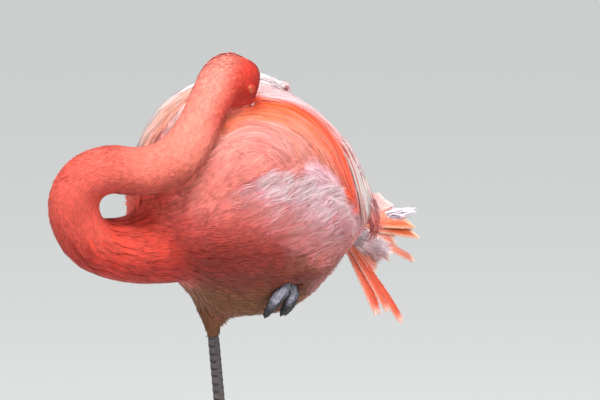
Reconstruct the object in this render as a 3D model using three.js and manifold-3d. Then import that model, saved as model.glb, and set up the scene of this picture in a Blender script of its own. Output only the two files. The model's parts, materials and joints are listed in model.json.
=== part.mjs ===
// A sleeping American flamingo as a life-size figure, in millimetres.
// It stands on its right leg with the left one drawn up into the plumage. The neck makes a loop
// in front of the breast, and the head lies on the back with the bill pushed into the feathers.
// +Z is up, the bird faces -X and its left side is -Y. The tables are measured from the middle
// of the body, and `add` then moves every solid so that the origin is on the floor at the middle
// of the standing foot's sole. Neighbouring solids keep a thin gap.
import * as THREE from "three";
import { mergeVertices } from "three/addons/utils/BufferGeometryUtils.js";
import Module from "manifold-3d";

const wasm = await Module();
wasm.setup();

// ---------------------------------------------------------------- driving sizes
const GAP = 0.3; // kept between two solids that touch
const SOLE = [-45, -3]; // middle of the standing foot's sole, seen from above

// The fluffed body as level slices: height, front, back and half width.
const BODY_SLICES = [
  [553, -34, 25, 16],
  [559, -62, 56, 36],
  [575, -82, 84, 54],
  [601, -106, 112, 74],
  [640, -156, 142, 96],
  [680, -180, 170, 104],
  [730, -176, 165, 103],
  [775, -159, 137, 96],
  [818, -134, 89, 78],
  [842, -109, 51, 52],
  [856, -83, 11, 31],
  [861, -60, -15, 10],
];
const BODY_WIDEST = 0.42; // share of a slice's length, from the front, where it is widest
const BODY_SQUARE = 2.15; // exponent of a slice's outline, where 2 is an ellipse
const BODY_MESH = [17, 22]; // rings and sides of the plumage
const CORE_MESH = [9, 12]; // and of the hidden surface under the wings

// A folded wing with its cape of long feathers: outline seen from the side, x and z.
const WING_OUTLINE = [
  [-158, 722],
  [-120, 724],
  [-75, 736],
  [-20, 744],
  [40, 737],
  [73, 722],
  [95, 706],
  [116, 680],
  [131, 655],
  [146, 640],
  [160, 652],
  [172, 637],
  [196, 655],
  [196, 900],
  [-190, 900],
  [-190, 760],
];
const WING_PROUD = 3; // how far a wing stands out of the body's plumage
const WING_DEEP = 19; // and how far it reaches into it
const WING_APART = 4; // half the strip of back between the wings
const WING_REACH = 300; // thickness of the plate that the outline is cut from
const PLUME_MESH = [6, 6]; // sides and steps of a long wing feather

// Long feathers of the wings: x, y, z, half thickness and half width along each one.
const RIGHT_CAPE = [
  [-20, 26, 850, 5, 14],
  [10, 24, 861, 5, 15],
  [42, 21, 856, 4, 11],
  [70, 19, 845, 1, 2],
];
const TERTIALS = [
  [120, 52, 745, 3, 11],
  [152, 48, 705, 3, 12],
  [170, 38, 668, 2.4, 9],
  [173, 33, 646, 0.8, 2],
];

// Neck: centreline, then half thickness in the loop's plane and across it.
const NECK_LINE = [
  [-60, 0, 666, 56, 54],
  [-138, 0, 658, 53, 51],
  [-199, -2, 653, 42, 40],
  [-256, -3, 669, 35, 33],
  [-281, -8, 712, 34, 31],
  [-274, -20, 746, 33, 30],
  [-247, -36, 762, 32, 29],
  [-201, -48, 757, 33, 30],
  [-164, -68, 772, 33, 30],
  [-132, -68, 810, 28.5, 27],
  [-111, -68, 846, 28, 26.5],
  [-94, -66, 869, 29.5, 27],
  [-79, -66, 878, 29, 26.5],
  [-69, -66, 875, 24, 23],
];
const NECK_ACROSS = [0.574, 0.819, 0]; // level direction across the neck's loop
const NECK_STEPS = 36;
const NECK_SIDES = 14;
const NECK_SLIT = 0.0002; // share of the neck's length left open at each joint
const NECK_JOINTS = [0.3, 0.64]; // shares of the table where the neck is parted

// Head: its middle, the way the bill points and the way the crown points.
const HEAD_MIDDLE = [-66, -65, 867];
const HEAD_AHEAD = [0.453, 0.072, -0.888];
const HEAD_CROWN = [0.775, -0.497, 0.358];
// Along the head: distance ahead, middle's height, half height and half width.
const HEAD_ROWS = [
  [-29, 1, 5, 5],
  [-24, 2.5, 19, 16],
  [-13, 3, 28, 25],
  [2, 2, 30, 27],
  [15, -2.5, 27, 24],
  [27, -4, 21, 16],
  [34, -4, 15.5, 11.5],
];
const HEAD_SIDES = 14;
const HEAD_STEPS = 9;
const EYE_RADIUS = 6.2;
const EYE_PLACE = [7, 11, 19.4]; // ahead, towards the crown and out to the side

// Bill: mouth line ahead and up, height of the upper and of the lower bill, half width.
const BILL_ROWS = [
  [27, -3, 12, 10, 9],
  [38, -4, 13.5, 13, 10.5],
  [52, -6, 11, 16, 10],
  [68, -12, 9, 19, 9.5],
  [83, -24, 8.5, 18, 9.5],
  [96, -41, 7.5, 12, 8],
  [104, -57, 3, 4, 3],
];
const BILL_SIDES = 7;
const BILL_STEPS = 11;
const BILL_NEAR = 0.01; // share of the table over which the mouth line's slope is read

// Tail: its root, the fan's middle direction and the direction it spreads in.
const TAIL_ROOT = [146, 0, 659];
const TAIL_MIDDLE = [0.835, -0.038, -0.549];
const TAIL_SPREAD = [-0.464, -0.582, -0.668];
// Each tail feather: angle in the fan, length and half width.
const TAIL_FEATHERS = [
  [-48, 113, 13],
  [-40, 129, 13.5],
  [-34, 144, 13.5],
  [-29, 151, 13],
  [-21, 104, 11],
  [-13, 141, 6.5],
  [-5, 88, 10],
  [8, 70, 10],
  [20, 68, 10],
  [30, 137, 9],
  [36, 113, 8],
  [46, 107, 10.5],
];
const TAIL_FAN = 26; // the roots spread by this much times the sine of the angle
const TAIL_THICK = 1.1; // half thickness of a tail feather
const TAIL_COVERTS = 72; // length of the soft feathers over the tail's root
// Soft root of the tail: share of its length, half thickness and half width.
const COVERTS_ROWS = [[-0.35, 16, 20], [0, 17, 25], [0.35, 14, 22], [0.7, 9, 16], [1, 2.5, 6]];
// A tail feather: share of its length, share of its width.
const TAIL_FEATHER_SHAPE = [[0, 0.7], [0.4, 0.95], [0.75, 1], [0.94, 0.72], [1, 0.2]];
const TAIL_LAP = 0.8; // neighbours lie over and under each other, by this share of their thickness
const TAIL_BEND = 5; // how far a feather's tip bends from its flat
const VANE_MESH = [6, 4]; // sides and steps of a tail feather
const COVERTS_MESH = [10, 6];

// Standing leg, from the plumage down: x, y, z, half thickness seen from the side and front.
const THIGH_ROWS = [
  [-52, 17, 592, 32, 31],
  [-51.5, 16.5, 567, 22.5, 22],
  [-51.5, 16, 550, 14.6, 14.4],
  [-51, 15, 530, 8.4, 8],
];
const SHIN_ROWS = [
  [-50.9, 15, 528.8, 7.2, 6.6],
  [-43.8, 12, 444, 7, 6.4],
  [-37.5, 9, 372, 7.2, 6.6],
  [-34.5, 7.6, 338, 8.6, 8.2],
  [-33, 7, 322, 11, 10.4],
  [-31.8, 6.5, 309, 10.6, 9.6],
];
const TARSUS_ROWS = [
  [-31.8, 6.5, 308.7, 10.4, 9.4],
  [-29.8, 5.8, 290, 8, 7],
  [-23.8, 3.8, 230, 6.8, 5.8],
  [-12, 0, 110, 6.6, 5.6],
  [-4.6, -2.5, 34, 7.4, 6.6],
  [-3, -3, 18.6, 9, 8.6],
];
// Toes of the standing foot: angle from straight ahead, length and half thickness.
const FOOT_HEEL = [-3, -3, 7.5];
const TOES = [
  [-40, 74, 4.6],
  [0, 84, 5],
  [40, 76, 4.6],
];
const TOE_SINK = 0.72; // height of a toe's middle as a share of its half thickness
const WEB_REACH = 0.82; // share of the toes' length that the web joins
const WEB_HOLLOW = 0.16; // how far the web's front edge draws back between two toes
const WEB_THICK = 1.6;
const WEB_LIFT = 0.7; // the web's underside clears the floor by this much
const WEB_STEPS = 6;
// Along each toe: share of the length and of the thickness, swelling at every joint.
const TOE_SWELL = [[0, 1.25], [0.15, 1], [0.3, 0.9], [0.4, 1.05], [0.52, 0.82], [0.64, 0.95],
  [0.76, 0.74], [0.86, 0.8], [0.92, 0.5], [1, 0.16]];
const TOE_LEAST = 0.6; // height of a toe's middle at its tip
const TOE_MESH = [6, 10]; // sides and steps of a toe
const HIND_MESH = [6, 5];
const BALL_MESH = [10, 6]; // sides and rings of the heel and of an eye
const HEEL_RADIUS = 9.4;
const ANKLE = [8.6, 9, 12, 10.7]; // radius above and below, height, and where its middle lies
// Short hind toe, from the heel: x, y, height above the floor and half thickness.
const HIND_TOE = [[3, 0, 12, 4.5], [12, 1, 12, 3.4], [18, 2, 10, 2.6], [22, 2, 7, 0.8]];

// Drawn-up left leg: the feathered bulge of the shin and the foot that shows below it.
const FOLD_MIDDLE = [22, -60, 622];
const FOLD_HALF = [66, 30, 27];
const FOLDED_TOES = [
  [[12, -56, 606, 9], [6, -66, 594, 8.6], [-7, -70, 585, 8], [-16, -68, 574, 7], [-20, -59, 560, 3]],
  [[14, -54, 606, 8], [22, -62, 591, 7.4], [17, -64, 580, 7], [12, -61, 570, 6], [8, -55, 560, 2.6]],
  [[16, -50, 604, 7], [30, -54, 590, 6], [29, -52, 578, 5.6], [26, -49, 568, 5], [22, -45, 559, 2.2]],
];

const ACROSS_BIRD = [0, 1, 0]; // from the bird's left to its right
const LIMB_MESH = [10, 11]; // sides and steps of the shin and of the tarsus
const THIGH_MESH = [12, 6];
const FOLD_MESH = [12, 8];
const FOLDED_TOE_MESH = [7, 6];
const FOLDED_TOE_ACROSS = [0.8, 0.3, 0];

// ---------------------------------------------------------------- solids from rings
const vector = (p) => new THREE.Vector3(...p);

/** A closed body through rings of equal count, with a fan over each end. */
function ringBody(rings) {
  const sides = rings[0].length;
  const places = rings.flat().flatMap((p) => [p.x, p.y, p.z]);
  const faces = [];
  for (let r = 0; r + 1 < rings.length; r++)
    for (let s = 0; s < sides; s++) {
      const a = r * sides + s;
      const b = r * sides + ((s + 1) % sides);
      faces.push(a, b, a + sides, b, b + sides, a + sides);
    }
  for (const end of [0, rings.length - 1]) {
    const middle = new THREE.Vector3();
    rings[end].forEach((p) => middle.addScaledVector(p, 1 / sides));
    const hub = places.length / 3;
    places.push(middle.x, middle.y, middle.z);
    for (let s = 0; s < sides; s++) {
      const a = end * sides + s;
      const b = end * sides + ((s + 1) % sides);
      faces.push(...(end ? [a, b, hub] : [b, a, hub]));
    }
  }
  const geometry = new THREE.BufferGeometry();
  geometry.setAttribute("position", new THREE.Float32BufferAttribute(places, 3));
  geometry.setIndex(faces);
  return solidOf(geometry);
}

/** A manifold-3d solid of a closed geometry, turned outwards if its faces point in. */
function solidOf(geometry) {
  const bare = geometry.clone();
  bare.deleteAttribute("normal");
  bare.deleteAttribute("uv");
  const merged = mergeVertices(bare, 1e-4);
  const triVerts = new Uint32Array(merged.index.array);
  const vertProperties = new Float32Array(merged.attributes.position.array);
  const make = () => new wasm.Manifold(new wasm.Mesh({ numProp: 3, vertProperties, triVerts }));
  const made = make();
  if (made.volume() > 0) return made;
  for (let i = 0; i < triVerts.length; i += 3)
    [triVerts[i + 1], triVerts[i + 2]] = [triVerts[i + 2], triVerts[i + 1]];
  return make();
}

/** The three.js geometry of a manifold-3d solid. */
function geometryOf(solid) {
  const mesh = solid.getMesh();
  const places = new Float32Array(mesh.numVert * 3);
  for (let i = 0; i < mesh.numVert; i++)
    places.set(mesh.vertProperties.subarray(i * mesh.numProp, i * mesh.numProp + 3), i * 3);
  const geometry = new THREE.BufferGeometry();
  geometry.setAttribute("position", new THREE.BufferAttribute(places, 3));
  geometry.setIndex(new THREE.BufferAttribute(mesh.triVerts, 1));
  geometry.computeVertexNormals();
  return geometry;
}

/** The largest single body of a solid, which drops slivers that a cut leaves. */
const largest = (solid) => solid.decompose().reduce((a, b) => (b.volume() > a.volume() ? b : a));

/** Several solids joined into one. */
const joined = (solids) => solids.reduce((a, b) => a.add(b));

/** Row values at a share t of a table, on a smooth curve through its rows. */
function along(table, t) {
  const place = Math.min(Math.max(t, 0), 1) * (table.length - 1);
  const i = Math.min(Math.floor(place), table.length - 2);
  const f = place - i;
  const row = (k) => table[Math.min(Math.max(k, 0), table.length - 1)];
  return table[0].map((_, c) => {
    const [a, b, d, e] = [row(i - 1)[c], row(i)[c], row(i + 1)[c], row(i + 2)[c]];
    return b + 0.5 * f * (d - a + f * (2 * a - 5 * b + 4 * d - e + f * (3 * (b - d) + e - a)));
  });
}

/** A tube along rows of x, y, z, half thickness and half width, the width lying `across`. */
function sweep(rows, across, sides, steps, from = 0, to = 1, grow = 0) {
  const NEAR = 0.002;
  const rings = [];
  for (let i = 0; i <= steps; i++) {
    const share = from + ((to - from) * i) / steps;
    const [x, y, z, thick, wide = thick] = along(rows, share);
    const ahead = vector(along(rows, share + NEAR).slice(0, 3));
    ahead.sub(vector(along(rows, share - NEAR).slice(0, 3))).normalize();
    const side = vector(across);
    side.addScaledVector(ahead, -side.dot(ahead)).normalize();
    const over = new THREE.Vector3().crossVectors(side, ahead);
    const middle = new THREE.Vector3(x, y, z);
    if (i === 0) middle.addScaledVector(ahead, -grow);
    if (i === steps) middle.addScaledVector(ahead, grow);
    const ring = [];
    for (let s = 0; s < sides; s++) {
      const angle = (2 * Math.PI * s) / sides;
      const point = middle.clone();
      point.addScaledVector(over, (thick + grow) * Math.cos(angle));
      ring.push(point.addScaledVector(side, (wide + grow) * Math.sin(angle)));
    }
    rings.push(ring);
  }
  return ringBody(rings);
}

/** A closed outline of x and y pairs, moved outwards by `grow` along every edge. */
function grownOutline(outline, grow) {
  const points = outline.map(([x, y]) => new THREE.Vector2(x, y));
  const count = points.length;
  const turn = Math.sign(THREE.ShapeUtils.area(points));
  const normals = points.map((p, i) => {
    const edge = points[(i + 1) % count].clone().sub(p).normalize();
    return new THREE.Vector2(edge.y * turn, -edge.x * turn);
  });
  return points.map((p, i) => {
    const [a, b] = [normals[(i + count - 1) % count], normals[i]];
    return p.clone().addScaledVector(a.clone().add(b), grow / (1 + a.dot(b))).toArray();
  });
}

/** A flat outline of x and y pairs made into a plate from z = bottom to z = top. */
function plate(outline, bottom, top) {
  const shape = new THREE.Shape(outline.map(([x, y]) => new THREE.Vector2(x, y)));
  const geometry = new THREE.ExtrudeGeometry(shape, { depth: top - bottom, bevelEnabled: false });
  return solidOf(geometry.translate(0, 0, bottom));
}

// ---------------------------------------------------------------- body and wings
/** The fluffed body, grown or shrunk all round. */
function bodySolid(grow = 0, [count, sides] = BODY_MESH) {
  const rings = [];
  for (let r = 0; r < count; r++) {
    const t = r / (count - 1);
    const [z, front, back, half] = along(BODY_SLICES, t);
    const widest = front + (back - front) * BODY_WIDEST;
    const ring = [];
    for (let s = 0; s < sides; s++) {
      const c = Math.cos((2 * Math.PI * s) / sides);
      const n = Math.sin((2 * Math.PI * s) / sides);
      const reach = Math.max((c < 0 ? widest - front : back - widest) + grow, 1);
      ring.push(
        new THREE.Vector3(
          widest + reach * Math.sign(c) * Math.abs(c) ** (2 / BODY_SQUARE),
          Math.max(half + grow, 1) * Math.sign(n) * Math.abs(n) ** (2 / BODY_SQUARE),
          z + grow * (2 * t - 1),
        ),
      );
    }
    rings.push(ring);
  }
  return ringBody(rings);
}

/** A folded wing on side -1 (left) or 1 (right), grown by `grow` where others are cut. */
function wingSolid(side, grow = 0) {
  const core = bodySolid(-WING_DEEP - 2 * grow, CORE_MESH);
  const shell = bodySolid(WING_PROUD + grow).subtract(core);
  const outline = grownOutline(WING_OUTLINE, grow);
  const slab = plate(outline, WING_APART - grow, WING_REACH).rotate([90, 0, 0]);
  const sided = side < 0 ? slab : slab.mirror([0, 1, 0]);
  const long = TERTIALS.map(([x, y, z, t, w]) => [x, side * y, z, t, w]);
  const plumes = [sweep(long, ACROSS_BIRD, ...PLUME_MESH, 0, 1, grow)];
  if (side > 0) plumes.push(sweep(RIGHT_CAPE, ACROSS_BIRD, ...PLUME_MESH, 0, 1, grow));
  return largest(joined([shell.intersect(sided), ...plumes]));
}

// ---------------------------------------------------------------- neck, head and bill
const neckPart = (from, to, grow = 0) => {
  const steps = Math.round(NECK_STEPS * (to - from));
  return sweep(NECK_LINE, NECK_ACROSS, NECK_SIDES, steps, from, to, grow);
};

const ahead = vector(HEAD_AHEAD).normalize();
const crown = vector(HEAD_CROWN);
crown.addScaledVector(ahead, -crown.dot(ahead)).normalize();
const outward = new THREE.Vector3().crossVectors(ahead, crown);
/** A place in the world from one on the head: ahead, towards the crown, out to the right. */
const onHead = (f, u, s) =>
  vector(HEAD_MIDDLE).addScaledVector(ahead, f).addScaledVector(crown, u).addScaledVector(outward, s);

function headSolid(grow = 0) {
  const rings = [];
  for (let i = 0; i <= HEAD_STEPS; i++) {
    const [f, u, high, wide] = along(HEAD_ROWS, i / HEAD_STEPS);
    const ring = [];
    for (let s = 0; s < HEAD_SIDES; s++) {
      const a = (2 * Math.PI * s) / HEAD_SIDES;
      const shift = grow * ((2 * i) / HEAD_STEPS - 1);
      ring.push(onHead(f + shift, u + (high + grow) * Math.cos(a), (wide + grow) * Math.sin(a)));
    }
    rings.push(ring);
  }
  return ringBody(rings);
}

const eyeSolid = (side, grow = 0) => {
  const [f, u, s] = EYE_PLACE;
  const ball = new THREE.SphereGeometry(EYE_RADIUS + grow, ...BALL_MESH);
  const place = onHead(f, u, side * s);
  return solidOf(ball.translate(place.x, place.y, place.z));
};

/** Upper (1) or lower (-1) bill: half rounds above or below the mouth line. */
function billSolid(way, grow = 0) {
  const rings = [];
  for (let i = 0; i <= BILL_STEPS; i++) {
    const t = i / BILL_STEPS;
    const [f, u, upper, lower, wide] = along(BILL_ROWS, t);
    const [f0, u0] = along(BILL_ROWS, t - BILL_NEAR);
    const [f1, u1] = along(BILL_ROWS, t + BILL_NEAR);
    const length = Math.hypot(f1 - f0, u1 - u0);
    const up = [-(u1 - u0) / length, (f1 - f0) / length];
    const high = (way > 0 ? upper : lower) - GAP / 2 + grow;
    const ring = [];
    for (let s = 0; s <= BILL_SIDES; s++) {
      const a = (Math.PI * s) / BILL_SIDES;
      const rise = way * (GAP / 2 - grow + (high + grow) * Math.sin(a));
      ring.push(onHead(f + up[0] * rise, u + up[1] * rise, (wide + grow) * Math.cos(a)));
    }
    rings.push(ring);
  }
  return ringBody(rings);
}

// ---------------------------------------------------------------- tail
function tailSolid() {
  const root = vector(TAIL_ROOT);
  const middle = vector(TAIL_MIDDLE).normalize();
  const spread = vector(TAIL_SPREAD);
  spread.addScaledVector(middle, -spread.dot(middle)).normalize();
  const flat = new THREE.Vector3().crossVectors(middle, spread);
  const feathers = TAIL_FEATHERS.map(([degrees, length, wide], i) => {
    const angle = THREE.MathUtils.degToRad(degrees);
    const way = middle.clone().multiplyScalar(Math.cos(angle));
    way.addScaledVector(spread, Math.sin(angle));
    const across = new THREE.Vector3().crossVectors(flat, way);
    const lift = (i % 2 ? 1 : -1) * TAIL_THICK * TAIL_LAP;
    const rows = TAIL_FEATHER_SHAPE.map(([share, width]) => {
      const bend = TAIL_BEND * share * share;
      const p = root.clone().addScaledVector(way, share * length).addScaledVector(flat, lift + bend);
      p.addScaledVector(spread, TAIL_FAN * Math.sin(angle));
      return [...p.toArray(), TAIL_THICK, wide * width];
    });
    return sweep(rows, across.toArray(), ...VANE_MESH);
  });
  const soft = sweep(
    COVERTS_ROWS.map(([share, thick, wide]) => [
      ...root.clone().addScaledVector(middle, share * TAIL_COVERTS).toArray(), thick, wide,
    ]),
    spread.toArray(), ...COVERTS_MESH,
  );
  return joined([soft, ...feathers]);
}

// ---------------------------------------------------------------- legs
function standingFoot() {
  const [hx, hy, hz] = FOOT_HEEL;
  const tip = ([degrees, length], share) => {
    const angle = THREE.MathUtils.degToRad(degrees);
    return [hx - Math.cos(angle) * length * share, hy + Math.sin(angle) * length * share];
  };
  const toes = TOES.map((toe) => {
    const rows = TOE_SWELL.map(([share, size]) => {
      const [x, y] = tip(toe, share);
      return [x, y, Math.max(toe[2] * size * TOE_SINK, TOE_LEAST), toe[2] * size];
    });
    return sweep(rows, ACROSS_BIRD, ...TOE_MESH);
  });
  const webs = [0, 1].map((i) => {
    const edge = [[hx, hy]];
    for (let k = 0; k <= WEB_STEPS; k++) {
      const f = k / WEB_STEPS;
      const dip = WEB_REACH - WEB_HOLLOW * Math.sin(Math.PI * f);
      const a = tip(TOES[i], dip);
      const b = tip(TOES[i + 1], dip);
      edge.push([a[0] + (b[0] - a[0]) * f, a[1] + (b[1] - a[1]) * f]);
    }
    return plate(edge, WEB_LIFT, WEB_LIFT + WEB_THICK);
  });
  const heel = solidOf(new THREE.SphereGeometry(HEEL_RADIUS, ...BALL_MESH).translate(hx, hy, hz));
  const hind = sweep(HIND_TOE.map(([x, y, z, half]) => [hx + x, hy + y, z, half]), ACROSS_BIRD, ...HIND_MESH);
  const [above, below, high, middle] = ANKLE;
  const ankle = new THREE.CylinderGeometry(above, below, high, BALL_MESH[0]).rotateX(Math.PI / 2);
  const top = solidOf(ankle.translate(hx, hy, middle));
  return joined([heel, top, hind, ...toes, ...webs]).trimByPlane([0, 0, 1], 0);
}

// ---------------------------------------------------------------- assembly
const group = new THREE.Group();
function add(name, solid, colour, roughness = 0.85) {
  const material = new THREE.MeshStandardMaterial({ color: colour, roughness, metalness: 0 });
  const moved = solid.translate([-SOLE[0], -SOLE[1], 0]);
  const mesh = new THREE.Mesh(geometryOf(moved), material);
  mesh.name = name;
  group.add(mesh);
}

const billRoom = joined([billSolid(1, GAP), billSolid(-1, GAP)]);
const eyeRoom = joined([eyeSolid(-1, GAP), eyeSolid(1, GAP)]);
const headRoom = joined([headSolid(GAP), billRoom, eyeRoom]);
const head = largest(headSolid().subtract(billRoom).subtract(eyeRoom));
const [first, second] = NECK_JOINTS;
const neckLoop = (grow) => neckPart(first + NECK_SLIT, second - NECK_SLIT, grow);
const neckUpper = (grow) => neckPart(second + NECK_SLIT, 1, grow);
const neckRoom = joined([neckLoop(GAP), neckUpper(GAP), headRoom]);

const foldHalf = new THREE.Vector3(...FOLD_HALF);
const fold = (grow) => {
  const ball = new THREE.SphereGeometry(1, ...FOLD_MESH);
  ball.scale(foldHalf.x + grow, foldHalf.y + grow, foldHalf.z + grow);
  return solidOf(ball.translate(...FOLD_MIDDLE));
};
const foldedFoot = (grow = 0) =>
  joined(FOLDED_TOES.map((rows) => sweep(rows, FOLDED_TOE_ACROSS, ...FOLDED_TOE_MESH, 0, 1, grow)));
const thigh = sweep(THIGH_ROWS, ACROSS_BIRD, ...THIGH_MESH);
const tarsus = sweep(TARSUS_ROWS, ACROSS_BIRD, ...LIMB_MESH);
const wings = { left: wingSolid(-1), right: wingSolid(1) };
const wingRoom = wingSolid(-1, GAP).add(wingSolid(1, GAP));

const trunk = [wingRoom, neckRoom, fold(GAP), foldedFoot(GAP)].reduce(
  (rest, room) => rest.subtract(room),
  bodySolid(),
);
add("trunk", largest(trunk), "#c8604f");
add("wing_left", largest(wings.left.subtract(neckRoom)), "#f08a70");
add("wing_right", largest(wings.right.subtract(neckRoom)), "#f08a70");
const bodyGrown = joined([bodySolid(GAP), wingRoom]);
add("neck_base", largest(neckPart(0, first - NECK_SLIT).subtract(bodyGrown)), "#d24a3c");
add("neck_loop", neckLoop(0), "#ee6554");
add("neck_upper", largest(neckUpper(0).subtract(headRoom)), "#f58d7c");
add("head", head, "#e3432a");
add("eye_left", eyeSolid(-1), "#e8c63a", 0.15);
add("eye_right", eyeSolid(1), "#e8c63a", 0.15);
add("bill_upper", billSolid(1), "#e9b7a6", 0.4);
add("bill_lower", billSolid(-1), "#2a2626", 0.4);
add("tail", largest(tailSolid().subtract(bodyGrown)), "#e8734f");
add("leg_right_thigh", largest(thigh.subtract(bodyGrown)), "#c98a78");
add("leg_right_shin", sweep(SHIN_ROWS, ACROSS_BIRD, ...LIMB_MESH), "#544d4d", 0.6);
add("leg_right_tarsus", tarsus, "#544d4d", 0.6);
add("leg_right_foot", standingFoot(), "#5a5558", 0.6);
add("leg_left_thigh", largest(fold(0).subtract(foldedFoot(GAP))), "#d98c86");
add("leg_left_foot", foldedFoot(), "#5a5a66", 0.6);

export default group;
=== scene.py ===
# %% [markdown]
# # A sleeping flamingo, feather by feather
# The solid parts of the bird are loaded first. They are the fixed frame: every piece made below sits on them,
# and they are never moved. Lengths are written in millimetres and turned to metres where a mesh is made.

# %% Load the frame
import json
import math

import bmesh
import bpy
import numpy as np
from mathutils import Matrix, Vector
from mathutils.bvhtree import BVHTree

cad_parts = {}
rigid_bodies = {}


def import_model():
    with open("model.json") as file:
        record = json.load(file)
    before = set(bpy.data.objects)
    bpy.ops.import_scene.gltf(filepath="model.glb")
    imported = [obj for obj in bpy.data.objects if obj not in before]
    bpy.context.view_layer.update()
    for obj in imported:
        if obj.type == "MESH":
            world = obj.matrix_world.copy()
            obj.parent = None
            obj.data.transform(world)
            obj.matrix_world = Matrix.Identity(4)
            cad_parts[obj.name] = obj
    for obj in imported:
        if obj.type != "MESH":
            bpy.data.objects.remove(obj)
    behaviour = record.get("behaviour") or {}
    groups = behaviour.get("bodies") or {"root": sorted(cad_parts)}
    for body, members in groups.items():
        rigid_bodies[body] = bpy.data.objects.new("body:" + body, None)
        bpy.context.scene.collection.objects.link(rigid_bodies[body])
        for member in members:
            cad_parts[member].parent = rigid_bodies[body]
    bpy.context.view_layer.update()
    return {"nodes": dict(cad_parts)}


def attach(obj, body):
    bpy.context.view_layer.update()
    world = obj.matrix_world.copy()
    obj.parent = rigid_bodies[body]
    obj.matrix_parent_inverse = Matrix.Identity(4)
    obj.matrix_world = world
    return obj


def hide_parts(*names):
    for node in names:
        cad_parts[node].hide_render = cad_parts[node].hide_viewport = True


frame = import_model()
MM = 0.001
# Places on the bird are measured from this point of the floor, which lies in the plane that halves the body.
BODY_MIDDLE = np.array([45.0, 3.0, 0.0])

# %% [markdown]
# ## Small helpers
# Small helpers are used all through. They turn a screen colour to the linear values that shaders work in, add
# a node to any tree, set it and link it, and make a mesh from plain arrays, which is how thousands of
# feathers can be made in a moment.

# %% Colours, nodes and meshes
def linear(colour):
    """The linear RGB of an sRGB hex colour."""
    values = [int(colour[i:i + 2], 16) / 255 for i in (1, 3, 5)]
    return np.array([v / 12.92 if v <= 0.04045 else ((v + 0.055) / 1.055) ** 2.4 for v in values])


def rgba(colour):
    """A hex colour as a shader's socket takes it."""
    return (*linear(colour), 1.0)


def plug(sockets, key):
    """A socket by its identifier, or else by its name."""
    exact = [s for s in sockets if s.identifier == key]
    return exact[0] if exact else [s for s in sockets if s.name == key and s.enabled][0]


def add(tree, kind, settings=None, feeds=None):
    """Adds a node, sets its options, and fills its inputs with values or with other nodes' outputs."""
    node = tree.nodes.new(kind)
    for key, value in (settings or {}).items():
        setattr(node, key, value)
    for key, value in (feeds or {}).items():
        socket = node.inputs[key] if isinstance(key, int) else plug(node.inputs, key)
        if isinstance(value, bpy.types.NodeSocket):
            tree.links.new(value, socket)
        else:
            socket.default_value = value
    return node


def out(node, key=0):
    """One of a node's outputs."""
    return node.outputs[key] if isinstance(key, int) else plug(node.outputs, key)


def shown(name, mesh):
    """A new object in the scene."""
    made = bpy.data.objects.new(name, mesh)
    bpy.context.scene.collection.objects.link(made)
    return made


def mesh_of(name, points, faces):
    """A mesh from points in millimetres and faces, given as lists or arrays."""
    mesh = bpy.data.meshes.new(name)
    mesh.from_pydata((np.asarray(points) * MM).tolist(), [],
                     faces.tolist() if hasattr(faces, "tolist") else faces)
    mesh.update()
    return mesh


def unit(v):
    """Directions of length one."""
    return v / np.maximum(np.linalg.norm(v, axis=-1, keepdims=True), 1e-9)


def smooth(low, high, x):
    """A soft step from 0 at low to 1 at high."""
    t = np.clip((x - low) / (high - low), 0, 1)
    return t * t * (3 - 2 * t)


def store(mesh, name, values, kind="FLOAT"):
    """Keeps one value, vector or colour for each point of a mesh."""
    field = {"FLOAT": "value", "FLOAT_VECTOR": "vector", "FLOAT_COLOR": "color"}[kind]
    layer = mesh.attributes.new(name, kind, "POINT")
    layer.data.foreach_set(field, np.asarray(values, dtype=np.float32).ravel())


def paint(mesh, colours):
    """Keeps a colour for each point of a mesh, where the materials read it."""
    colours = colours.reshape(-1, 3)
    store(mesh, "plumage", np.concatenate([colours, np.ones((len(colours), 1))], 1), "FLOAT_COLOR")


def graded(places, stops, tones):
    """Colours read at many places between tones that stand at the stops."""
    values = np.array([linear(tone) for tone in tones])
    return np.stack([np.interp(places, stops, values[:, i]) for i in range(3)], -1)


def points_of(mesh):
    """A mesh's points, in millimetres."""
    flat = np.empty(len(mesh.vertices) * 3)
    mesh.vertices.foreach_get("co", flat)
    return flat.reshape(-1, 3) / MM


def normals_of(mesh):
    """The outward direction at each point of a mesh."""
    flat = np.empty(len(mesh.vertices) * 3, np.float32)
    mesh.vertex_normals.foreach_get("vector", flat)
    return flat.reshape(-1, 3).astype(float)


def move_points(mesh, points):
    """Puts a mesh's points at new places, given in millimetres."""
    mesh.vertices.foreach_set("co", (points * MM).ravel())
    mesh.update()


# %% [markdown]
# ## The camera
# The bird is seen through a long lens, from its left, a little ahead and a little above. A long lens keeps
# the near neck from looking too big. The target is worked out so that the body's middle falls at a chosen
# place in a frame of 600 by 400.

# %% Camera
FRAME_WIDTH, FRAME_HEIGHT = 600, 400
CAMERA_TURN, CAMERA_RISE = math.radians(-35), math.radians(6)
CAMERA_DISTANCE = 7.0
MM_PER_PIXEL = 1.3
BODY_CENTRE = Vector((0.045, 0.003, 0.698))
BODY_PIXEL = (252, 205)
SENSOR = 36.0

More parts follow.
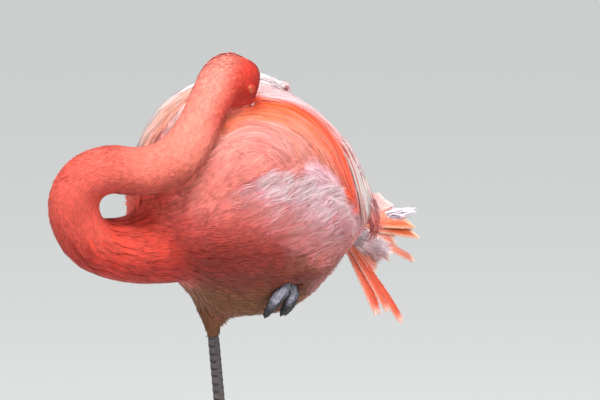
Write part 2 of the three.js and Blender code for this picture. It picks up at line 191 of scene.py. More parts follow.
camera = bpy.data.objects.new("camera", bpy.data.cameras.new("camera"))
bpy.context.scene.collection.objects.link(camera)
right = Vector((math.cos(CAMERA_TURN), math.sin(CAMERA_TURN), 0))
back = Vector((math.sin(CAMERA_TURN) * math.cos(CAMERA_RISE), -math.cos(CAMERA_TURN) * math.cos(CAMERA_RISE),
               math.sin(CAMERA_RISE)))
up = back.cross(right)
target = BODY_CENTRE + right * ((FRAME_WIDTH / 2 - BODY_PIXEL[0]) * MM_PER_PIXEL * MM)
target += up * ((BODY_PIXEL[1] - FRAME_HEIGHT / 2) * MM_PER_PIXEL * MM)
camera.location = target + back * CAMERA_DISTANCE
camera.rotation_euler = (-back).to_track_quat("-Z", "Y").to_euler()
camera.data.sensor_width = SENSOR
camera.data.lens = SENSOR * CAMERA_DISTANCE / (FRAME_WIDTH * MM_PER_PIXEL * MM)
camera.data.clip_end = 200
bpy.context.scene.camera = camera
print("lens:", round(camera.data.lens, 1), "mm")

# %% [markdown]
# ## Floor and light
# A wide pale floor fills the frame behind the bird. One large soft light stands high above and a little to
# the left, and a weak one fills from the right. A pale sky and a sun with a very wide, hazy disc light the
# rest, the floor too.

# %% Floor, sky and lights
FLOOR_HALF = 60.0
LIGHT_AIM = (0.05, 0, 0.7)
SKY_STRENGTH, SUN_STRENGTH, SUN_DISC = 0.5, 0.85, math.radians(35)
SUN_FROM = Vector((-0.3, -0.35, 1.0))


def plain_floor():
    """A pale matt floor, which belongs to the stage and not to the bird."""
    mesh = bpy.data.meshes.new("floor")
    signs = ((-1, -1), (1, -1), (1, 1), (-1, 1))
    mesh.from_pydata([(x * FLOOR_HALF, y * FLOOR_HALF, 0) for x, y in signs], [], [(0, 1, 2, 3)])
    made = shown("floor", mesh)
    material = bpy.data.materials.new("pale matt floor")
    material.use_nodes = True
    shader = material.node_tree.nodes["Principled BSDF"]
    shader.inputs["Base Color"].default_value = rgba("#eceeec")
    shader.inputs["Roughness"].default_value = 0.9
    mesh.materials.append(material)


def soft_light(name, place, size, power):
    """A square light of a given width in metres and power in watts, aimed at the body."""
    lamp = bpy.data.lights.new(name, "AREA")
    lamp.energy, lamp.size = power, size
    made = bpy.data.objects.new(name, lamp)
    bpy.context.scene.collection.objects.link(made)
    made.location = place
    made.rotation_euler = (Vector(LIGHT_AIM) - Vector(place)).to_track_quat("-Z", "Y").to_euler()


plain_floor()
world = bpy.data.worlds.new("pale sky")
world.use_nodes = True
world.node_tree.nodes["Background"].inputs["Color"].default_value = rgba("#f6f8fa")
world.node_tree.nodes["Background"].inputs["Strength"].default_value = SKY_STRENGTH
bpy.context.scene.world = world
soft_light("key light", (-1.4, -2.0, 4.2), 1.6, 150)
soft_light("fill light", (2.8, -2.6, 1.8), 2.0, 14)
sun = bpy.data.lights.new("hazy sun", "SUN")
sun.energy, sun.angle = SUN_STRENGTH, SUN_DISC
hazy_sun = bpy.data.objects.new("hazy sun", sun)
bpy.context.scene.collection.objects.link(hazy_sun)
hazy_sun.rotation_euler = (-SUN_FROM).to_track_quat("-Z", "Y").to_euler()
bpy.context.scene.view_settings.view_transform = "Standard"

# %% [markdown]
# ## The lie of the coat
# Feathers all point somewhere: down the neck, back over the flank, round the shoulder and down to the tail.
# A few lines say which way, each as points from root to tip, measured from the body's middle line,
# for the left side (the right mirrors it). Any place on the skin takes its direction from the lines nearest
# to it, so the field turns smoothly between them.

# %% Lines of the coat
NECK_LINE = [(-60, 0, 666), (-138, 0, 658), (-199, -2, 653), (-256, -3, 669), (-281, -8, 712),
             (-274, -20, 746), (-247, -36, 762), (-201, -48, 757), (-164, -68, 772), (-132, -68, 810),
             (-111, -68, 846), (-94, -66, 869), (-79, -66, 878), (-69, -66, 875)]
HEAD_MIDDLE = np.array([-66.0, -65.0, 867.0])
HEAD_AHEAD = unit(np.array([0.453, 0.072, -0.888]))
HEAD_CROWN = np.array([0.775, -0.497, 0.358])
HEAD_CROWN = unit(HEAD_CROWN - HEAD_AHEAD * (HEAD_CROWN @ HEAD_AHEAD))
HEAD_RIGHT = np.cross(HEAD_AHEAD, HEAD_CROWN)
EYE_PLACE = (7.0, 11.0, 19.4)    # ahead of the head's middle, towards the crown and out to the side
LIE_LINES = {
    "low breast": [(-190, -20, 615), (-120, -35, 608), (-50, -75, 616), (30, -85, 624), (95, -66, 632),
                   (150, -35, 620)],
    "breast": [(-196, -20, 680), (-147, -63, 665), (-91, -94, 672), (-19, -103, 692), (45, -97, 712),
               (90, -86, 700), (125, -60, 650)],
    "shoulder": [(-149, -66, 714), (-123, -84, 737), (-91, -94, 759), (-40, -100, 780), (0, -98, 788),
                 (45, -92, 765), (78, -88, 715)],
    "cape": [(-75, -55, 838), (-20, -60, 848), (45, -64, 826), (92, -62, 790), (120, -66, 745),
             (128, -68, 700)],
    "back": [(-110, 0, 842), (-40, 0, 862), (40, 0, 856), (105, 0, 815), (150, 0, 750), (185, 0, 690)],
    "belly": [(-130, -8, 600), (-60, -20, 570), (20, -35, 566), (80, -30, 580), (150, -15, 600),
              (210, 0, 610)],
}
print("lines of the coat:", len(LIE_LINES))

# %% [markdown]
# ## The markings
# Skin and feathers share one set of markings. Each marking is a patch: a tone, how far it reaches, how strong
# it is, and a short line of places that it runs through. Later patches lie over earlier ones. The lines are
# for the left side and the right side mirrors them, as on the living bird. Two of the patches are painted
# shade, not the bird's own colour: a dark one low on the flank, and an olive-brown one on the belly with a
# painted green reflection.

# %% Markings
NECK_TONES = ["#cf3a2a", "#e44c3b", "#f06353", "#f78672", "#fb9684"]    # from the breast to the nape
HEAD_TONE, CROWN_TONE = "#e8402a", "#d8240e"
HEAD_EDGE = np.array([0.71, -0.55, -0.43])    # across the edge where the nape's pink turns to the head's red
HEAD_EDGE_PLACE = np.array([-75.0, -59.0, 867.0])
THIGH_TONE = "#805432"
BODY_TONE = "#ea8d86"
MARKINGS = [
    ("#d43e2d", 72, 1.0, [(-240, -5, 640), (-170, -35, 645), (-120, -60, 655)]),
    ("#da4c3a", 45, 0.9, [(-185, 0, 690), (-165, -20, 735)]),
    ("#c24a43", 62, 0.9, [(-125, -80, 700), (-60, -98, 668), (-10, -98, 650)]),
    ("#9c2a1c", 42, 0.9, [(-160, -30, 622), (-100, -72, 636), (-40, -86, 630), (0, -90, 636)]),
    ("#f3877a", 48, 0.8, [(-120, -82, 735), (-60, -98, 740), (-30, -98, 765)]),
    ("#f79f92", 42, 0.7, [(-85, -80, 800), (-30, -88, 800), (10, -88, 795)]),
    ("#f97a4a", 14, 0.8, [(-95, -74, 812), (-50, -78, 824), (0, -78, 820)]),
    ("#c8706e", 48, 0.85, [(-30, -102, 712), (20, -99, 688), (60, -92, 664)]),
    ("#e3b3be", 32, 0.95, [(32, -98, 736), (62, -92, 716), (94, -84, 700), (110, -78, 676)]),
    ("#b77478", 32, 0.85, [(10, -97, 664), (70, -84, 652), (100, -70, 640)]),
    # painted shade: the dark patch low on the flank
    ("#8f5646", 32, 0.85, [(20, -88, 622), (80, -74, 612), (115, -50, 606)]),
    ("#f7551f", 20, 1.0, [(-45, -66, 840), (20, -68, 830), (66, -72, 800), (90, -80, 760), (100, -84, 715)]),
    ("#f5c4c8", 22, 0.9, [(0, -45, 850), (60, -42, 835), (105, -52, 790), (128, -58, 740), (150, -50, 695)]),
    ("#f6dfe2", 42, 0.9, [(-60, 0, 862), (30, 0, 862), (100, 0, 820), (155, 0, 740)]),
    ("#f3d3cd", 34, 0.9, [(-80, -22, 858), (-122, -28, 830), (-148, -42, 790)]),
    ("#7e341e", 30, 0.85, [(-95, -45, 600), (-40, -70, 602), (30, -78, 604)]),
    # painted shade with a painted green reflection: the olive-brown belly
    ("#7d5a2b", 40, 0.95, [(-80, -14, 578), (-20, -42, 572), (40, -46, 572), (-40, 0, 556)]),
    ("#b08284", 32, 0.8, [(70, -40, 585), (130, -38, 605), (185, -10, 610)]),
    ("#efe0e8", 34, 0.9, [(165, 0, 650), (215, 0, 625)]),
]


def distance_to_line(points, line):
    """The distance of many points to a bent line, its direction there, and the share of its length there."""
    ends = np.asarray(line, float)
    starts = np.concatenate([[0], np.cumsum(np.linalg.norm(np.diff(ends, axis=0), axis=1))])
    best = np.full(len(points), 1e9)
    way = np.zeros((len(points), 3))
    share = np.zeros(len(points))
    for i, (a, b) in enumerate(zip(ends[:-1], ends[1:])):
        along = np.clip((points - a) @ (b - a) / ((b - a) @ (b - a)), 0, 1)
        gap = np.linalg.norm(points - (a + along[:, None] * (b - a)), axis=1)
        nearer = gap < best
        best[nearer] = gap[nearer]
        way[nearer] = unit(b - a)
        share[nearer] = (starts[i] + along * (starts[i + 1] - starts[i]))[nearer] / starts[-1]
    return best, way, share


def left_side(points):
    """The same places, folded on to the bird's left side."""
    folded = points.copy()
    folded[:, 1] = -np.abs(folded[:, 1])
    return folded


def plumage(points, weights):
    """The coat's colour at many places, from the weights of neck, head and thigh there."""
    folded = left_side(points)
    colour = np.tile(linear(BODY_TONE), (len(points), 1))
    for tone, reach, strength, line in MARKINGS:
        gap = distance_to_line(folded, line)[0]
        cover = strength * (1 - smooth(0.35 * reach, 1.25 * reach, gap))
        colour += cover[:, None] * (linear(tone) - colour)
    share = distance_to_line(points, NECK_LINE)[2]
    neck = graded(share, np.linspace(0.12, 0.95, len(NECK_TONES)), NECK_TONES)
    across = (points - HEAD_EDGE_PLACE) @ HEAD_EDGE
    crown = np.maximum(weights["head"], smooth(0.8, 0.9, share))
    for tone, low, high in ((HEAD_TONE, -14, 18), (CROWN_TONE, 14, 44)):
        neck += (smooth(low, high, across) * crown)[:, None] * (linear(tone) - neck)
    plush = np.clip(weights["neck"] + weights["head"], 0, 1)
    for cover, over in ((plush, neck), (weights["thigh"], linear(THIGH_TONE))):
        colour += cover[:, None] * (over - colour)
    return colour


print("markings:", len(MARKINGS))

# %% [markdown]
# ## The skin
# Under the feathers lies one closed skin. Copies of the solid parts of flesh are swollen by a little over
# half a millimetre so that they touch, joined, and remade as one even mesh by Blender's voxel remesh, which
# leaves no seam. The skin is then drawn in by the depth of the coat, thin on the head and deep on the body,
# and smoothed.

# %% One skin from the solid parts
FLESH = {"trunk": "body", "wing_left": "body", "wing_right": "body", "neck_base": "neck", "neck_loop": "neck",
         "neck_upper": "neck", "head": "head", "leg_right_thigh": "thigh", "leg_left_thigh": "body"}
COAT_DEPTH = {"body": 4.5, "neck": 1.0, "head": 0.7, "thigh": 1.2, "tail": 3.0}
# How many times each thing is averaged with its neighbours' on the skin
ZONE_ROUNDS, PAINT_ROUNDS, NECK_PAINT_ROUNDS, DEPTH_ROUNDS = 3, 10, 14, 6
NECK_ROUNDS, LAST_ROUNDS, LIE_ROUNDS = 12, 2, 4
SWELL, SKIN_VOXEL = 0.6, 3.6
TAIL_ROOT = np.array([146.0, 0.0, 659.0])
TAIL_MIDDLE = unit(np.array([0.835, -0.038, -0.549]))
TAIL_SPREAD = np.array([-0.464, -0.582, -0.668])
TAIL_SPREAD = unit(TAIL_SPREAD - TAIL_MIDDLE * (TAIL_SPREAD @ TAIL_MIDDLE))
TAIL_FLAT = np.cross(TAIL_MIDDLE, TAIL_SPREAD)
TAIL_CONE = [(-0.35, 16, 20), (0, 17, 25), (0.35, 14, 22), (0.7, 9, 16), (1, 2.5, 6)]    # share, thick, wide
TAIL_CONE_LENGTH, CONE_SIDES = 72.0, 16
TAIL_BEGINS = 12    # how far behind the tail's root its fluff takes over
TAIL_FAVOUR = 6.0    # behind there, the tail counts as this much nearer than the body


def merged(node, swell):
    """A bmesh copy of a solid part, with its loose triangles merged and its points moved outwards."""
    made = bmesh.new()
    made.from_mesh(frame["nodes"][node].data)
    bmesh.ops.remove_doubles(made, verts=made.verts, dist=1e-6)
    made.normal_update()
    for point in made.verts:
        point.co += point.normal * swell * MM
    return made


def tail_cone():
    """The soft root of the tail, a closed cone of rings."""
    cone = bmesh.new()
    rings = []
    for share, thick, wide in TAIL_CONE:
        middle = BODY_MIDDLE + TAIL_ROOT + TAIL_MIDDLE * share * TAIL_CONE_LENGTH
        turns = [2 * math.pi * i / CONE_SIDES for i in range(CONE_SIDES)]
        ring = [middle + TAIL_SPREAD * wide * math.cos(t) + TAIL_FLAT * thick * math.sin(t) for t in turns]
        rings.append([cone.verts.new(p * MM) for p in ring])
    for a, b in zip(rings[:-1], rings[1:]):
        for i in range(CONE_SIDES):
            j = (i + 1) % CONE_SIDES
            cone.faces.new((a[i], a[j], b[j], b[i]))
    cone.faces.new(rings[0][::-1])
    cone.faces.new(rings[-1])
    bmesh.ops.recalc_face_normals(cone, faces=cone.faces)
    return cone


def remade(name, nodes, swell, voxel, rounds, more=()):
    """One smooth closed mesh around several solid parts."""
    whole = bpy.data.meshes.new(name)
    joined = bmesh.new()
    for part in [*more, *(merged(node, swell) for node in nodes)]:
        loose = bpy.data.meshes.new("loose")
        part.to_mesh(loose)
        joined.from_mesh(loose)
        part.free()
        bpy.data.meshes.remove(loose)
    joined.to_mesh(whole)
    joined.free()
    carrier = shown(name, whole)
    grid = carrier.modifiers.new("even mesh", "REMESH")
    grid.mode, grid.voxel_size = "VOXEL", voxel * MM
    soft = carrier.modifiers.new("soft", "SMOOTH")
    soft.factor, soft.iterations = 0.5, rounds
    made = bpy.data.meshes.new_from_object(carrier.evaluated_get(bpy.context.evaluated_depsgraph_get()))
    bpy.data.objects.remove(carrier)
    made.name = name
    return made


def spread(mesh, values, rounds):
    """Averages values with their neighbours' along the mesh's edges, so that they change softly."""
    pairs = np.empty(len(mesh.edges) * 2, int)
    mesh.edges.foreach_get("vertices", pairs)
    a, b = pairs.reshape(-1, 2).T
    size = len(values)
    count = np.bincount(a, minlength=size) + np.bincount(b, minlength=size) + 1.0
    columns = values.reshape(size, -1).T.copy()
    for _ in range(rounds):
        for i, column in enumerate(columns):
            total = np.bincount(a, column[b], size) + np.bincount(b, column[a], size)
            columns[i] = (column + total) / count
    return columns.T.reshape(values.shape)


skin_mesh = remade("skin", FLESH, SWELL, SKIN_VOXEL, 8, [tail_cone()])
skin_points = points_of(skin_mesh)
gap_to = {kind: np.full(len(skin_points), 1e9) for kind in COAT_DEPTH}
for node, kind in FLESH.items():
    part = merged(node, 0)
    tree = BVHTree.FromBMesh(part)
    found = np.array([tree.find_nearest(Vector(p) * MM)[3] for p in skin_points]) / MM
    gap_to[kind] = np.minimum(gap_to[kind], found)
    part.free()
behind = (skin_points - BODY_MIDDLE - TAIL_ROOT) @ TAIL_MIDDLE > TAIL_BEGINS
gap_to["tail"] = np.where(behind, gap_to["body"] - TAIL_FAVOUR, 1e9)
nearest = np.argmin(np.stack([gap_to[kind] for kind in COAT_DEPTH]), axis=0)
zones = [(nearest == i).astype(float) for i in range(len(COAT_DEPTH))]
weights = {kind: spread(skin_mesh, zone, ZONE_ROUNDS) for kind, zone in zip(COAT_DEPTH, zones)}
paint_weights = {kind: spread(skin_mesh, weights[kind], PAINT_ROUNDS) for kind in ("head", "thigh")}
paint_weights["neck"] = spread(skin_mesh, weights["neck"], NECK_PAINT_ROUNDS)
depth = sum(weights[kind] * COAT_DEPTH[kind] for kind in COAT_DEPTH)
depth = spread(skin_mesh, depth, DEPTH_ROUNDS)
skin_points = skin_points - normals_of(skin_mesh) * depth[:, None]
plush = spread(skin_mesh, np.clip(weights["neck"] + weights["head"], 0, 1), DEPTH_ROUNDS)
rounded = spread(skin_mesh, skin_points, NECK_ROUNDS)
skin_points += plush[:, None] * (rounded - skin_points)    # rounds the neck's corners
move_points(skin_mesh, spread(skin_mesh, skin_points, LAST_ROUNDS))
skin = shown("skin", skin_mesh)
print("skin faces:", len(skin_mesh.polygons))

# %% [markdown]
# ## Spread the markings and the lie over the skin
# Each point of the skin keeps its colour, darkened by painted shade where it faces down, the direction its
# feathers lie in, and how much of each kind of coat grows there. The skin is also unwrapped, and every
# feather later takes the place of its root on that map.

# %% Colour, direction and map on the skin
PAINTED_UNDERSIDE_SHADE, NECK_PAINTED_SHADE = 0.35, 0.2    # painted shade: how much darker the colour is made where the skin faces down, and how much more on the neck
PAINTED_SHADE_TINT = np.array([0.7, 1.5, 1.6])    # how strongly that painted shade acts on red, green and blue
NECK_SPLIT = 0.55    # the share of the neck's line where its low piece of coat gives way to the high one
BARE_RING = (6.0, 8.5)    # the plush starts between these distances from the middle of an eye


def lie_direction(points, normals, weights):
    """The way the feathers point, along the surface."""
    folded = left_side(points)
    side = np.where(points[:, 1] > 0, -1.0, 1.0)
    total = np.zeros_like(points)
    for line in LIE_LINES.values():
        gap, way, _ = distance_to_line(folded, line)
        total += way / (gap[:, None] + 4) ** 3
    total = unit(total)
    total[:, 1] *= side
    neck_way = distance_to_line(points, NECK_LINE)[1]
    for kind, way in (("neck", -neck_way), ("head", -HEAD_AHEAD), ("thigh", np.array([0.05, 0.0, -1.0]))):
        pull = weights[kind][:, None]
        total = total * (1 - pull) + way * pull
    total -= normals * np.sum(total * normals, axis=1, keepdims=True)
    return unit(total)


def eye_middle(side):
    """The middle of an eye: side is 1 for the right one and -1 for the left."""
    ahead, up_to, aside = EYE_PLACE
    return HEAD_MIDDLE + ahead * HEAD_AHEAD + up_to * HEAD_CROWN + side * aside * HEAD_RIGHT


skin_points = points_of(skin_mesh)
skin_normals = normals_of(skin_mesh)
own_places = skin_points - BODY_MIDDLE
skin_lie = unit(spread(skin_mesh, lie_direction(own_places, skin_normals, weights), LIE_ROUNDS))
skin_colour = plumage(own_places, paint_weights)
# Painted shade: the colour is darkened where the skin faces down, more on the neck, and grows redder as it
# darkens.
below = smooth(0.1, -0.8, skin_normals[:, 2])
below = below * (PAINTED_UNDERSIDE_SHADE + NECK_PAINTED_SHADE * np.clip(paint_weights["neck"], 0, 1))
skin_colour *= (1 - below)[:, None] ** PAINTED_SHADE_TINT
along_neck = distance_to_line(own_places, NECK_LINE)[2]
weights["low_neck"] = weights["neck"] * (along_neck < NECK_SPLIT)
weights["high_neck"] = weights["neck"] * (along_neck >= NECK_SPLIT)
for side in (-1, 1):
    from_eye = np.linalg.norm(own_places - eye_middle(side), axis=1)
    weights["head"] = weights["head"] * smooth(*BARE_RING, from_eye)
store(skin_mesh, "lie", skin_lie, "FLOAT_VECTOR")
paint(skin_mesh, skin_colour)
for kind in weights:
    store(skin_mesh, "coat_" + kind, weights[kind])


def unwrap(piece, name):
    """Unwraps a piece by the angles of its own surface."""
    bpy.context.view_layer.objects.active = piece
    for other in bpy.context.selected_objects:
        other.select_set(False)
    piece.select_set(True)
    piece.data.uv_layers.new(name=name)
    bpy.ops.object.mode_set(mode="EDIT")
    bpy.ops.mesh.select_all(action="SELECT")
    bpy.ops.uv.smart_project(angle_limit=math.radians(66), island_margin=0.002)
    bpy.ops.object.mode_set(mode="OBJECT")
    piece.select_set(False)


unwrap(skin, "OFBake")
print("unwrapped:", skin_mesh.uv_layers[0].name, "points:", len(skin_points))

# %% [markdown]
# ## Feather material
# A feather is keratin, drawn out into thousands of barbs. It is matt from afar with a faint soft sheen, and
# the barbs draw fine streaks along its length. The colour comes from the markings, each feather a little
# lighter or darker than the next, and tips are paler than roots.

# %% Feather and skin materials
BARB_STREAKS = 9.0    # streaks across one vane


def feather_material(name, contrast, grain, pale_tip, sheen):
    """contrast is how much one feather differs from the next, grain how strong its streaks are."""
    material = bpy.data.materials.new(name)
    material.use_nodes = True
    tree = material.node_tree
    shader = tree.nodes["Principled BSDF"]
    own = add(tree, "ShaderNodeAttribute", {"attribute_name": "plumage"})
    tone = add(tree, "ShaderNodeAttribute", {"attribute_name": "tone"})
    vane = add(tree, "ShaderNodeUVMap", {"uv_map": "vane"})
    parts = add(tree, "ShaderNodeSeparateXYZ", feeds={0: out(vane)})
    placed = add(tree, "ShaderNodeCombineXYZ",
                 feeds={"X": out(parts, "X"), "Y": out(parts, "Y"), "Z": out(tone, "Fac")})
    stretched = add(tree, "ShaderNodeVectorMath", {"operation": "MULTIPLY"},
                    {0: out(placed), 1: (BARB_STREAKS, 0.7, 31.0)})
    streaks = add(tree, "ShaderNodeTexNoise", feeds={"Vector": out(stretched), "Scale": 2.0, "Detail": 2.0})
    light = add(tree, "ShaderNodeMapRange",
                feeds={"Value": out(tone, "Fac"), "To Min": 1 - contrast, "To Max": 1 + contrast})
    lines = add(tree, "ShaderNodeMapRange",
                feeds={"Value": out(streaks, "Fac"), "From Min": 0.3, "From Max": 0.7,
                                                   "To Min": 1 - grain, "To Max": 1 + grain})
    both = add(tree, "ShaderNodeMath", {"operation": "MULTIPLY"},
               {0: out(light, "Result"), 1: out(lines, "Result")})
    lit = add(tree, "ShaderNodeVectorMath", {"operation": "SCALE"},
              {0: out(own, "Color"), "Scale": out(both)})
    ends = add(tree, "ShaderNodeMapRange", feeds={"Value": out(parts, "Y"), "From Min": 0.35, "From Max": 1.0,
                                                  "To Min": 0.0, "To Max": pale_tip})
    pale = add(tree, "ShaderNodeMix", {"data_type": "RGBA", "blend_type": "SCREEN"},
               {"Factor_Float": out(ends, "Result"), "A_Color": out(lit), "B_Color": rgba("#e9a9a6")})
    tree.links.new(out(pale, "Result_Color"), shader.inputs["Base Color"])
    shader.inputs["Roughness"].default_value = 0.7
    shader.inputs["Specular IOR Level"].default_value = 0.25
    shader.inputs["Sheen Weight"].default_value = sheen
    shader.inputs["Sheen Roughness"].default_value = 0.45
    return material


def skin_material():
    """Bare skin and down under the coat: the same markings, darker, with pores a millimetre apart."""
    material = bpy.data.materials.new("downy skin")
    material.use_nodes = True
    tree = material.node_tree
    shader = tree.nodes["Principled BSDF"]
    own = add(tree, "ShaderNodeAttribute", {"attribute_name": "plumage"})
    place = add(tree, "ShaderNodeTexCoord")
    pores = add(tree, "ShaderNodeTexNoise",
                feeds={"Vector": out(place, "Object"), "Scale": 900.0, "Detail": 3.0})
    shade = add(tree, "ShaderNodeMapRange", feeds={"Value": out(pores, "Fac"), "To Min": 0.8, "To Max": 1.0})
    dark = add(tree, "ShaderNodeVectorMath", {"operation": "SCALE"},
               {0: out(own, "Color"), "Scale": out(shade, "Result")})
    tree.links.new(out(dark), shader.inputs["Base Color"])
    bump = add(tree, "ShaderNodeBump",
               feeds={"Height": out(pores, "Fac"), "Strength": 0.3, "Distance": 0.001})
    tree.links.new(out(bump), shader.inputs["Normal"])
    shader.inputs["Roughness"].default_value = 0.85
    return material


FEATHER = feather_material("contour feather keratin", 0.28, 0.2, 0.1, 0.1)
SILK = feather_material("long silky feather keratin", 0.24, 0.26, 0.08, 0.12)
DOWN = feather_material("loose down keratin", 0.24, 0.16, 0.2, 0.2)
CREST = feather_material("short velvet feather keratin", 0.21, 0.14, 0.1, 0.08)
skin_mesh.materials.append(skin_material())
skin_mesh.shade_smooth()
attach(skin, "root")
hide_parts(*FLESH)
print("feather materials:", FEATHER.name, SILK.name, DOWN.name, CREST.name)

# %% [markdown]
# ## A tuft
# The small feathers overlap so closely that only their loose ends show, as a few soft blades side by side. So
# one tuft is a fan of thin tapered blades with a spread and a lift of its own. Three differing tufts are
# enough, because each is turned, tilted and scaled anew wherever it grows.

# %% Make a tuft
def tuft_mesh(name, blades, length, width, fan, lift, steps, seed):
    """A fan of tapered blades along +Y, with their flat side up."""
    chance = np.random.default_rng(seed)
    points, faces, vane = [], [], []
    for blade in range(blades):
        across = (blade + 0.5) / blades * 2 - 1
        own = length * (1 - 0.22 * abs(across) - 0.2 * chance.random())
        turn = fan * across + 0.12 * (chance.random() - 0.5)
        rise = lift * (0.5 + chance.random())
        start = len(points)
        for step in range(steps + 1):
            s = step / steps
            half = 0.5 * width * math.sin(math.pi * min(1, 0.22 + 0.78 * s)) ** 0.7 if step < steps else 0.0
            x = across * width * 0.45 * blades * 0.5 + own * s * math.sin(turn * (0.4 + 0.6 * s))
            y = own * s * math.cos(turn)
            z = -0.4 * (1 - s) + rise * s * s + 0.14 * width * (blade % 2)
            for side in ((-1, 1) if step < steps else (0,)):
                points.append((x + side * half, y, z))
                vane.append(((blade + 0.5 + 0.5 * side) / blades, s))
        for step in range(steps - 1):
            a = start + 2 * step
            faces.append((a, a + 1, a + 3, a + 2))
        a = start + 2 * (steps - 1)
        faces.append((a, a + 1, a + 2))
    return vaned_mesh(name, points, faces, vane)


def vaned_mesh(name, points, faces, vane):
    """A mesh with the place across and along its own vane kept as a map."""
    mesh = mesh_of(name, points, faces)
    layer = mesh.uv_layers.new(name="vane")
    for loop in mesh.loops:
        layer.data[loop.index].uv = vane[loop.vertex_index]
    return mesh


# %% [markdown]
# ## Grow a coat over the skin
# Geometry Nodes scatter tufts over the skin an even distance apart, only where that kind of coat grows. Each
# tuft stands on the skin's normal, points along the lie, and is tilted and scaled a little at random from a
# fixed seed. The tufts are then realized, and each writes its own small patch, at its root's place, on the
# map OFBake.

# %% The tree that grows a coat
PATCH = 0.003    # the width of one tuft's patch on the map


def coat_tree():
    """The node tree that scatters, turns, sizes and maps the tufts of one coat piece."""
    tree = bpy.data.node_groups.new("coat of tufts", "GeometryNodeTree")
    face = tree.interface
    face.new_socket("Skin", in_out="INPUT", socket_type="NodeSocketGeometry")
    for name, kind in (("Zone", "String"), ("Spacing", "Float"), ("Tufts", "Collection"),
                       ("Smallest", "Float"), ("Largest", "Float"), ("Tilt", "Float"), ("Sway", "Float"),
                       ("Seed", "Int"), ("Material", "Material")):
        face.new_socket(name, in_out="INPUT", socket_type="NodeSocket" + kind)
    face.new_socket("Coat", in_out="OUTPUT", socket_type="NodeSocketGeometry")
    given = add(tree, "NodeGroupInput")
    zone = add(tree, "GeometryNodeInputNamedAttribute", {"data_type": "FLOAT"}, {"Name": out(given, "Zone")})
    apart = add(tree, "ShaderNodeMath", {"operation": "MULTIPLY"},
                {0: out(given, "Spacing"), 1: out(given, "Spacing")})
    crowd = add(tree, "ShaderNodeMath", {"operation": "DIVIDE"}, {0: 2.2, 1: out(apart)})
    roots = add(tree, "GeometryNodeDistributePointsOnFaces", {"distribute_method": "POISSON"},
                {"Mesh": out(given, "Skin"), "Distance Min": out(given, "Spacing"), "Density Max": out(crowd),
                 "Density Factor": out(zone, "Attribute"), "Seed": out(given, "Seed")})
    lie = add(tree, "GeometryNodeInputNamedAttribute", {"data_type": "FLOAT_VECTOR"}, {"Name": "lie"})
    axes = add(tree, "FunctionNodeAxesToRotation", {"primary_axis": "Z", "secondary_axis": "Y"},
               {"Primary Axis": out(roots, "Normal"), "Secondary Axis": out(lie, "Attribute")})
    tilt_low = add(tree, "ShaderNodeMath", {"operation": "MULTIPLY"}, {0: out(given, "Tilt"), 1: 0.3})
    sway_low = add(tree, "ShaderNodeMath", {"operation": "MULTIPLY"}, {0: out(given, "Sway"), 1: -1.0})
    low = add(tree, "ShaderNodeCombineXYZ",
              feeds={"X": out(tilt_low), "Y": out(sway_low), "Z": out(sway_low)})
    high = add(tree, "ShaderNodeCombineXYZ", feeds={"X": out(given, "Tilt"), "Y": out(given, "Sway"),
                                                    "Z": out(given, "Sway")})
    chance = add(tree, "FunctionNodeRandomValue", {"data_type": "FLOAT_VECTOR"},
                 {"Min": out(low), "Max": out(high), "Seed": out(given, "Seed")})
    euler = add(tree, "FunctionNodeEulerToRotation", feeds={"Euler": out(chance, "Value")})
    turned = add(tree, "FunctionNodeRotateRotation", {"rotation_space": "LOCAL"},
                 {"Rotation": out(axes, "Rotation"), "Rotate By": out(euler, "Rotation")})
    size = add(tree, "FunctionNodeRandomValue", {"data_type": "FLOAT"},
               {"Min_001": out(given, "Smallest"), "Max_001": out(given, "Largest"), "Seed": 7})
    kinds = add(tree, "GeometryNodeCollectionInfo", {"transform_space": "ORIGINAL"},
                {"Collection": out(given, "Tufts"), "Separate Children": True, "Reset Children": True})
    tone = add(tree, "FunctionNodeRandomValue", {"data_type": "FLOAT"},
               {"Min_001": 0.0, "Max_001": 1.0, "Seed": 3})
    toned = add(tree, "GeometryNodeStoreNamedAttribute", {"data_type": "FLOAT", "domain": "POINT"},
                {"Geometry": out(roots, "Points"), "Name": "tone", "Value": out(tone, "Value_001")})
    which = add(tree, "FunctionNodeRandomValue", {"data_type": "INT"},
                {"Min_002": 0, "Max_002": 2, "Seed": 5})
    grown = add(tree, "GeometryNodeInstanceOnPoints", feeds={
        "Points": out(toned, "Geometry"), "Instance": out(kinds, 0), "Pick Instance": True,
        "Instance Index": out(which, "Value_002"), "Rotation": out(turned, "Rotation"),
        "Scale": out(size, "Value_001")})
    real = add(tree, "GeometryNodeRealizeInstances", feeds={"Geometry": out(grown, "Instances")})
    root_map = add(tree, "GeometryNodeInputNamedAttribute", {"data_type": "FLOAT_VECTOR"}, {"Name": "OFBake"})
    vane = add(tree, "GeometryNodeInputNamedAttribute", {"data_type": "FLOAT_VECTOR"}, {"Name": "vane"})
    centred = add(tree, "ShaderNodeVectorMath", {"operation": "SUBTRACT"},
                  {0: out(vane, "Attribute"), 1: (0.5, 0.5, 0)})
    small = add(tree, "ShaderNodeVectorMath", {"operation": "SCALE"}, {0: out(centred), "Scale": PATCH})
    patch = add(tree, "ShaderNodeVectorMath", {"operation": "ADD"},
                {0: out(root_map, "Attribute"), 1: out(small)})
    mapped = add(tree, "GeometryNodeStoreNamedAttribute", {"data_type": "FLOAT2", "domain": "CORNER"},
                 {"Geometry": out(real), "Name": "OFBake", "Value": out(patch)})
    painted = add(tree, "GeometryNodeSetMaterial",
                  feeds={"Geometry": out(mapped), "Material": out(given, "Material")})
    add(tree, "NodeGroupOutput", feeds={"Coat": out(painted)})
    return tree


COAT_TREE = coat_tree()


